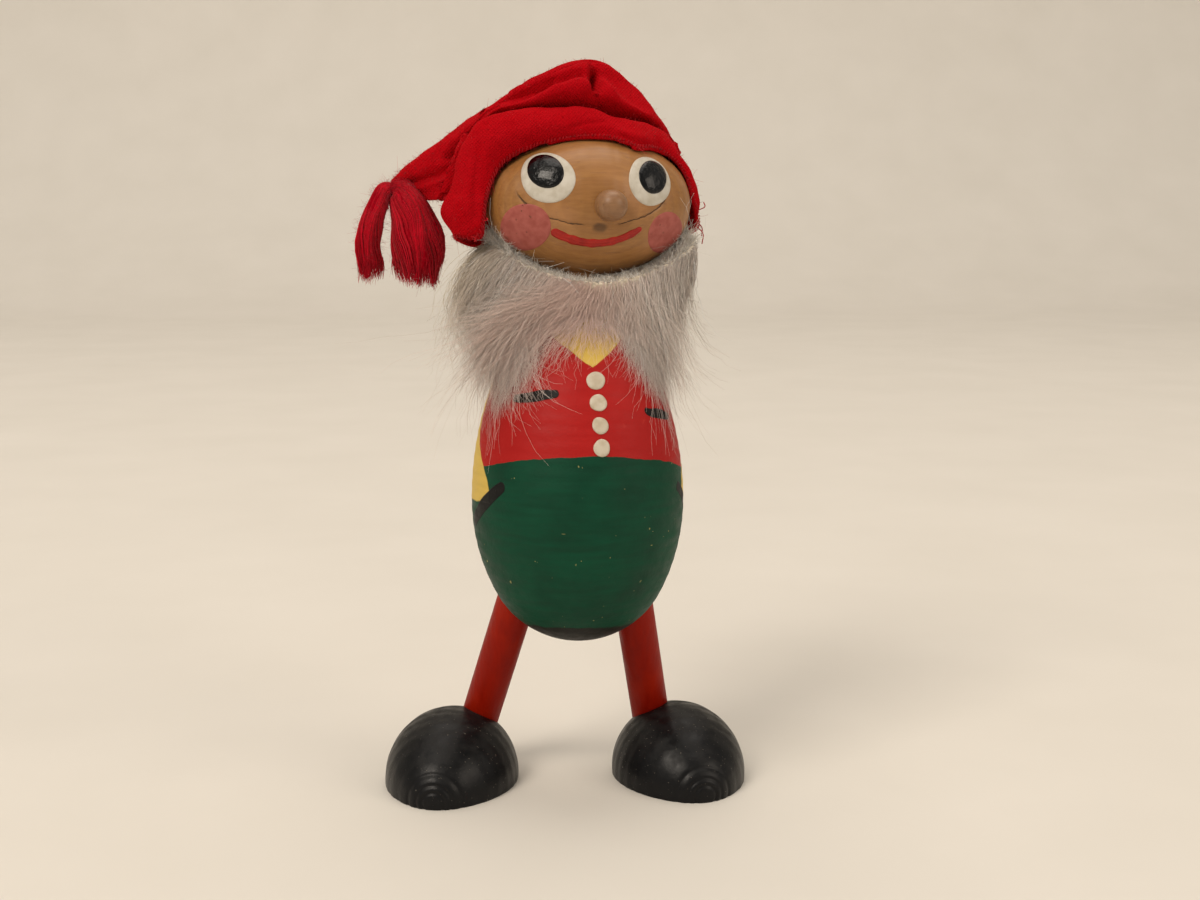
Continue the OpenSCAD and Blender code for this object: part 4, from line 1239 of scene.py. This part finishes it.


# Loose roving wool, dyed crimson: silky along the fibres. The core inside each lobe stands for the packed
# wool there; its colour, darker than the fibres', is painted shade between the locks.
wool = fibre_finish("crimson_roving_wool", "#b00a24", 0.6, 0.06, 0.1)
core_f = Finish("crimson_wool_core", "#8e0418", Roughness=0.85, Specular_IOR_Level=0.05)
core_f.paint(core_f.node("Mix", {0: core_f.grain(0.7, 4.0, stretch=(1.6, 1.6, 0.3)), 6: "#7c000e",
        7: "#a80018"}, **BLEND))
core_f.relief((0.4, core_f.grain(0.8, 4.0, stretch=(1.6, 1.6, 0.25))))
wool_core = core_f.material
yarn_lobe("tassel_outer", [(-38.25, 8.9, 3.2), (-40.0, 8.4, 2.4), (-42.1, 8.2, -2.6), (-43.3, 8.4, -8.5),
        (-42.6, 8.8, -14.4)],
          [1.3, 1.8, 2.1, 2.5, 1.7], 700, 3.0, "tassel_outer")
yarn_lobe("tassel_inner", [(-38.2, 8.8, 3.3), (-36.2, 7.6, 2.8), (-34.2, 6.6, -2.6), (-33.1, 6.4, -9.0),
        (-33.6, 7.2, -15.4)],
          [1.4, 2.6, 4.6, 5.3, 3.8], 1300, 11.0, "tassel_inner")
tie_knot()


# ---------------------------------------------------------------- lint on the hat

def lint(count=3400):
    """Short loose fibres standing off the cloth, thickest along the raw hem."""
    rows, seg = outer.shape[:2]
    hem = rng.random(count) < 0.34
    i = np.where(hem, rng.integers(0, 2, count), rng.integers(0, rows - 6, count))
    j = rng.integers(0, seg, count)
    root, n = outer[i, j], outer_n[i, j]
    down = unit(outer[0, j] - outer[2, j])
    go = unit(n * 0.55 + rng.normal(size=(count, 3)) * 0.6 + down * (hem * 1.1)[:, None])
    size = np.where(hem, rng.uniform(0.25, 0.8, count), rng.uniform(0.25, 1.0, count))
    size = np.where(rng.random(count) < 0.012, 3.0, size)
    t = np.linspace(0, 1, 4)
    bow = unit(rng.normal(size=(count, 3)))
    paths = root[:, None] + go[:, None] * (size[:, None] * t)[..., None] + bow[:,
            None] * (0.35 * size[:, None] * t**2)[..., None]
    strands("hat_lint", head_place(paths), rng.uniform(0.018, 0.034, (count, 1)) * (1 - 0.5 * t),
            tints(count, ["#b8101c", "#98040f", "#cc343a"]), wool, "gnome", "red_cotton")


def hem_stitches(count=118):
    """Overcast thread along the front of the hem, one slanting stitch every 0.7 mm or so."""
    seg = outer.shape[1]
    front = (np.arange(seg) < 0.70 * seg)
    line = outer[1][front]
    arc = np.concatenate([[0], np.cumsum(np.linalg.norm(np.diff(line, axis=0), axis=1))])
    at = np.linspace(1, arc[-1] - 1, count) + rng.normal(0, 0.08, count)
    pick = lambda grid: np.stack([np.interp(at, arc, grid[front][:, c]) for c in range(3)], -1)
    low, high, n = pick(outer[0]), pick(outer[4]), unit(pick(outer_n[2]))
    ahead = unit(np.roll(low, -1, 0) - low)
    t = np.linspace(0, 1, 6)[None, :, None]
    paths = low[:, None] * (1 - t) + (high * 0.55 + low * 0.45 + ahead * 0.35)[:, None] * t
    paths = paths + n[:, None] * (0.10 + 0.22 * np.sin(math.pi * t))
    strands("hem_stitches", head_place(paths), np.full((count, 6), 0.10),
            tints(count, ["#9c0c16", "#b0141e"]),
            wool, "gnome", "thread", 5)
    # threads pulled loose where the hem ends by the ears
    starts = [((22.8, 0.2, -1.0), (0.9, -0.6, 1.6)), ((22.9, 0.4, -3.6), (0.5, -0.4, -2.6)),
              ((22.4, -0.6, -4.4), (0.9, -0.3, -3.4)), ((-22.6, -4.9, -5.4), (-0.6, -0.5, -1.5)),
              ((-24.2, -4.2, -5.8), (0.7, -0.6, -1.2)), ((-22.0, -5.0, -3.0), (0.8, -0.7, 0.6))]
    loose = np.array([spline([a, np.add(a, np.multiply(d, (1.2, 1.5, 0.4))), np.add(a, d)],
            np.linspace(0, 2, 10))
                      for a, d in starts])
    strands("loose_threads", head_place(loose), np.full((len(loose), 10), 0.11),
            tints(len(loose), ["#b0101a"]),
            wool, "gnome", "thread", 5)


lint()
hem_stitches()


# ---------------------------------------------------------------- floor, light and camera

def lay_floor():
    f = Finish("pale_floor", "#d8d3ca", Roughness=0.75, Specular_IOR_Level=0.3)
    f.paint(f.node("Mix", {0: f.grain(60.0, 3.0), 6: "#d3cec5", 7: "#dcd7cf"}, **BLEND))
    bend = [(1.3 + 0.5 * math.sin(a), 0.5 - 0.5 * math.cos(a)) for a in np.linspace(0, math.pi / 2, 24)]
    run = [(-4.0, 0.0)] + bend + [(1.8, 4.0)]
    mesh = bpy.data.meshes.new("floor")
    mesh.from_pydata([(x, y, z) for y, z in run for x in (-5.0, 5.0)], [],
                     [(2 * k, 2 * k + 1, 2 * k + 3, 2 * k + 2) for k in range(len(run) - 1)])
    mesh.polygons.foreach_set("use_smooth", np.ones(len(mesh.polygons), bool))
    floor = bpy.data.objects.new("floor", mesh)
    bpy.context.scene.collection.objects.link(floor)
    mesh.materials.append(f.material)


def soft_light(name, at, towards, size, power, tint):
    lamp = bpy.data.lights.new(name, "AREA")
    lamp.shape, lamp.size, lamp.energy, lamp.color = "SQUARE", size, power, colour(tint)[:3]
    light = bpy.data.objects.new(name, lamp)
    light.location = at
    light.rotation_euler = (Vector(towards) - Vector(at)).to_track_quat("-Z", "Y").to_euler()
    bpy.context.scene.collection.objects.link(light)


lay_floor()
soft_light("window_left", (-1.25, -1.35, 1.75), (0, 0, 0.08), 1.0, 34.0, "#fff4e6")
soft_light("room_right", (1.7, -1.1, 1.1), (0, 0, 0.08), 1.2, 13.0, "#fff1e0")
soft_light("ceiling", (0.0, 0.3, 2.3), (0, 0, 0.05), 2.0, 26.0, "#fff6ec")
world = bpy.data.worlds.new("pale_room")
world.use_nodes = True
world.node_tree.nodes["Background"].inputs[0].default_value = colour("#e9e4db")
world.node_tree.nodes["Background"].inputs[1].default_value = 0.42
bpy.context.scene.world = world
bpy.context.scene.view_settings.view_transform = "Standard"

lens = bpy.data.cameras.new("camera")
lens.lens, lens.sensor_width, lens.clip_start = 48.0, 36.0, 0.01
camera = bpy.data.objects.new("camera", lens)
camera.location = (np.array([-18.7, -316.5, 121.8]) + STAND) * MM
pitch, heading = math.radians(-9.0), math.radians(4.2)
aim = Vector((math.sin(heading) * math.cos(pitch), math.cos(heading) * math.cos(pitch), math.sin(pitch)))
camera.rotation_euler = aim.to_track_quat("-Z", "Y").to_euler()
bpy.context.scene.collection.objects.link(camera)
bpy.context.scene.camera = camera
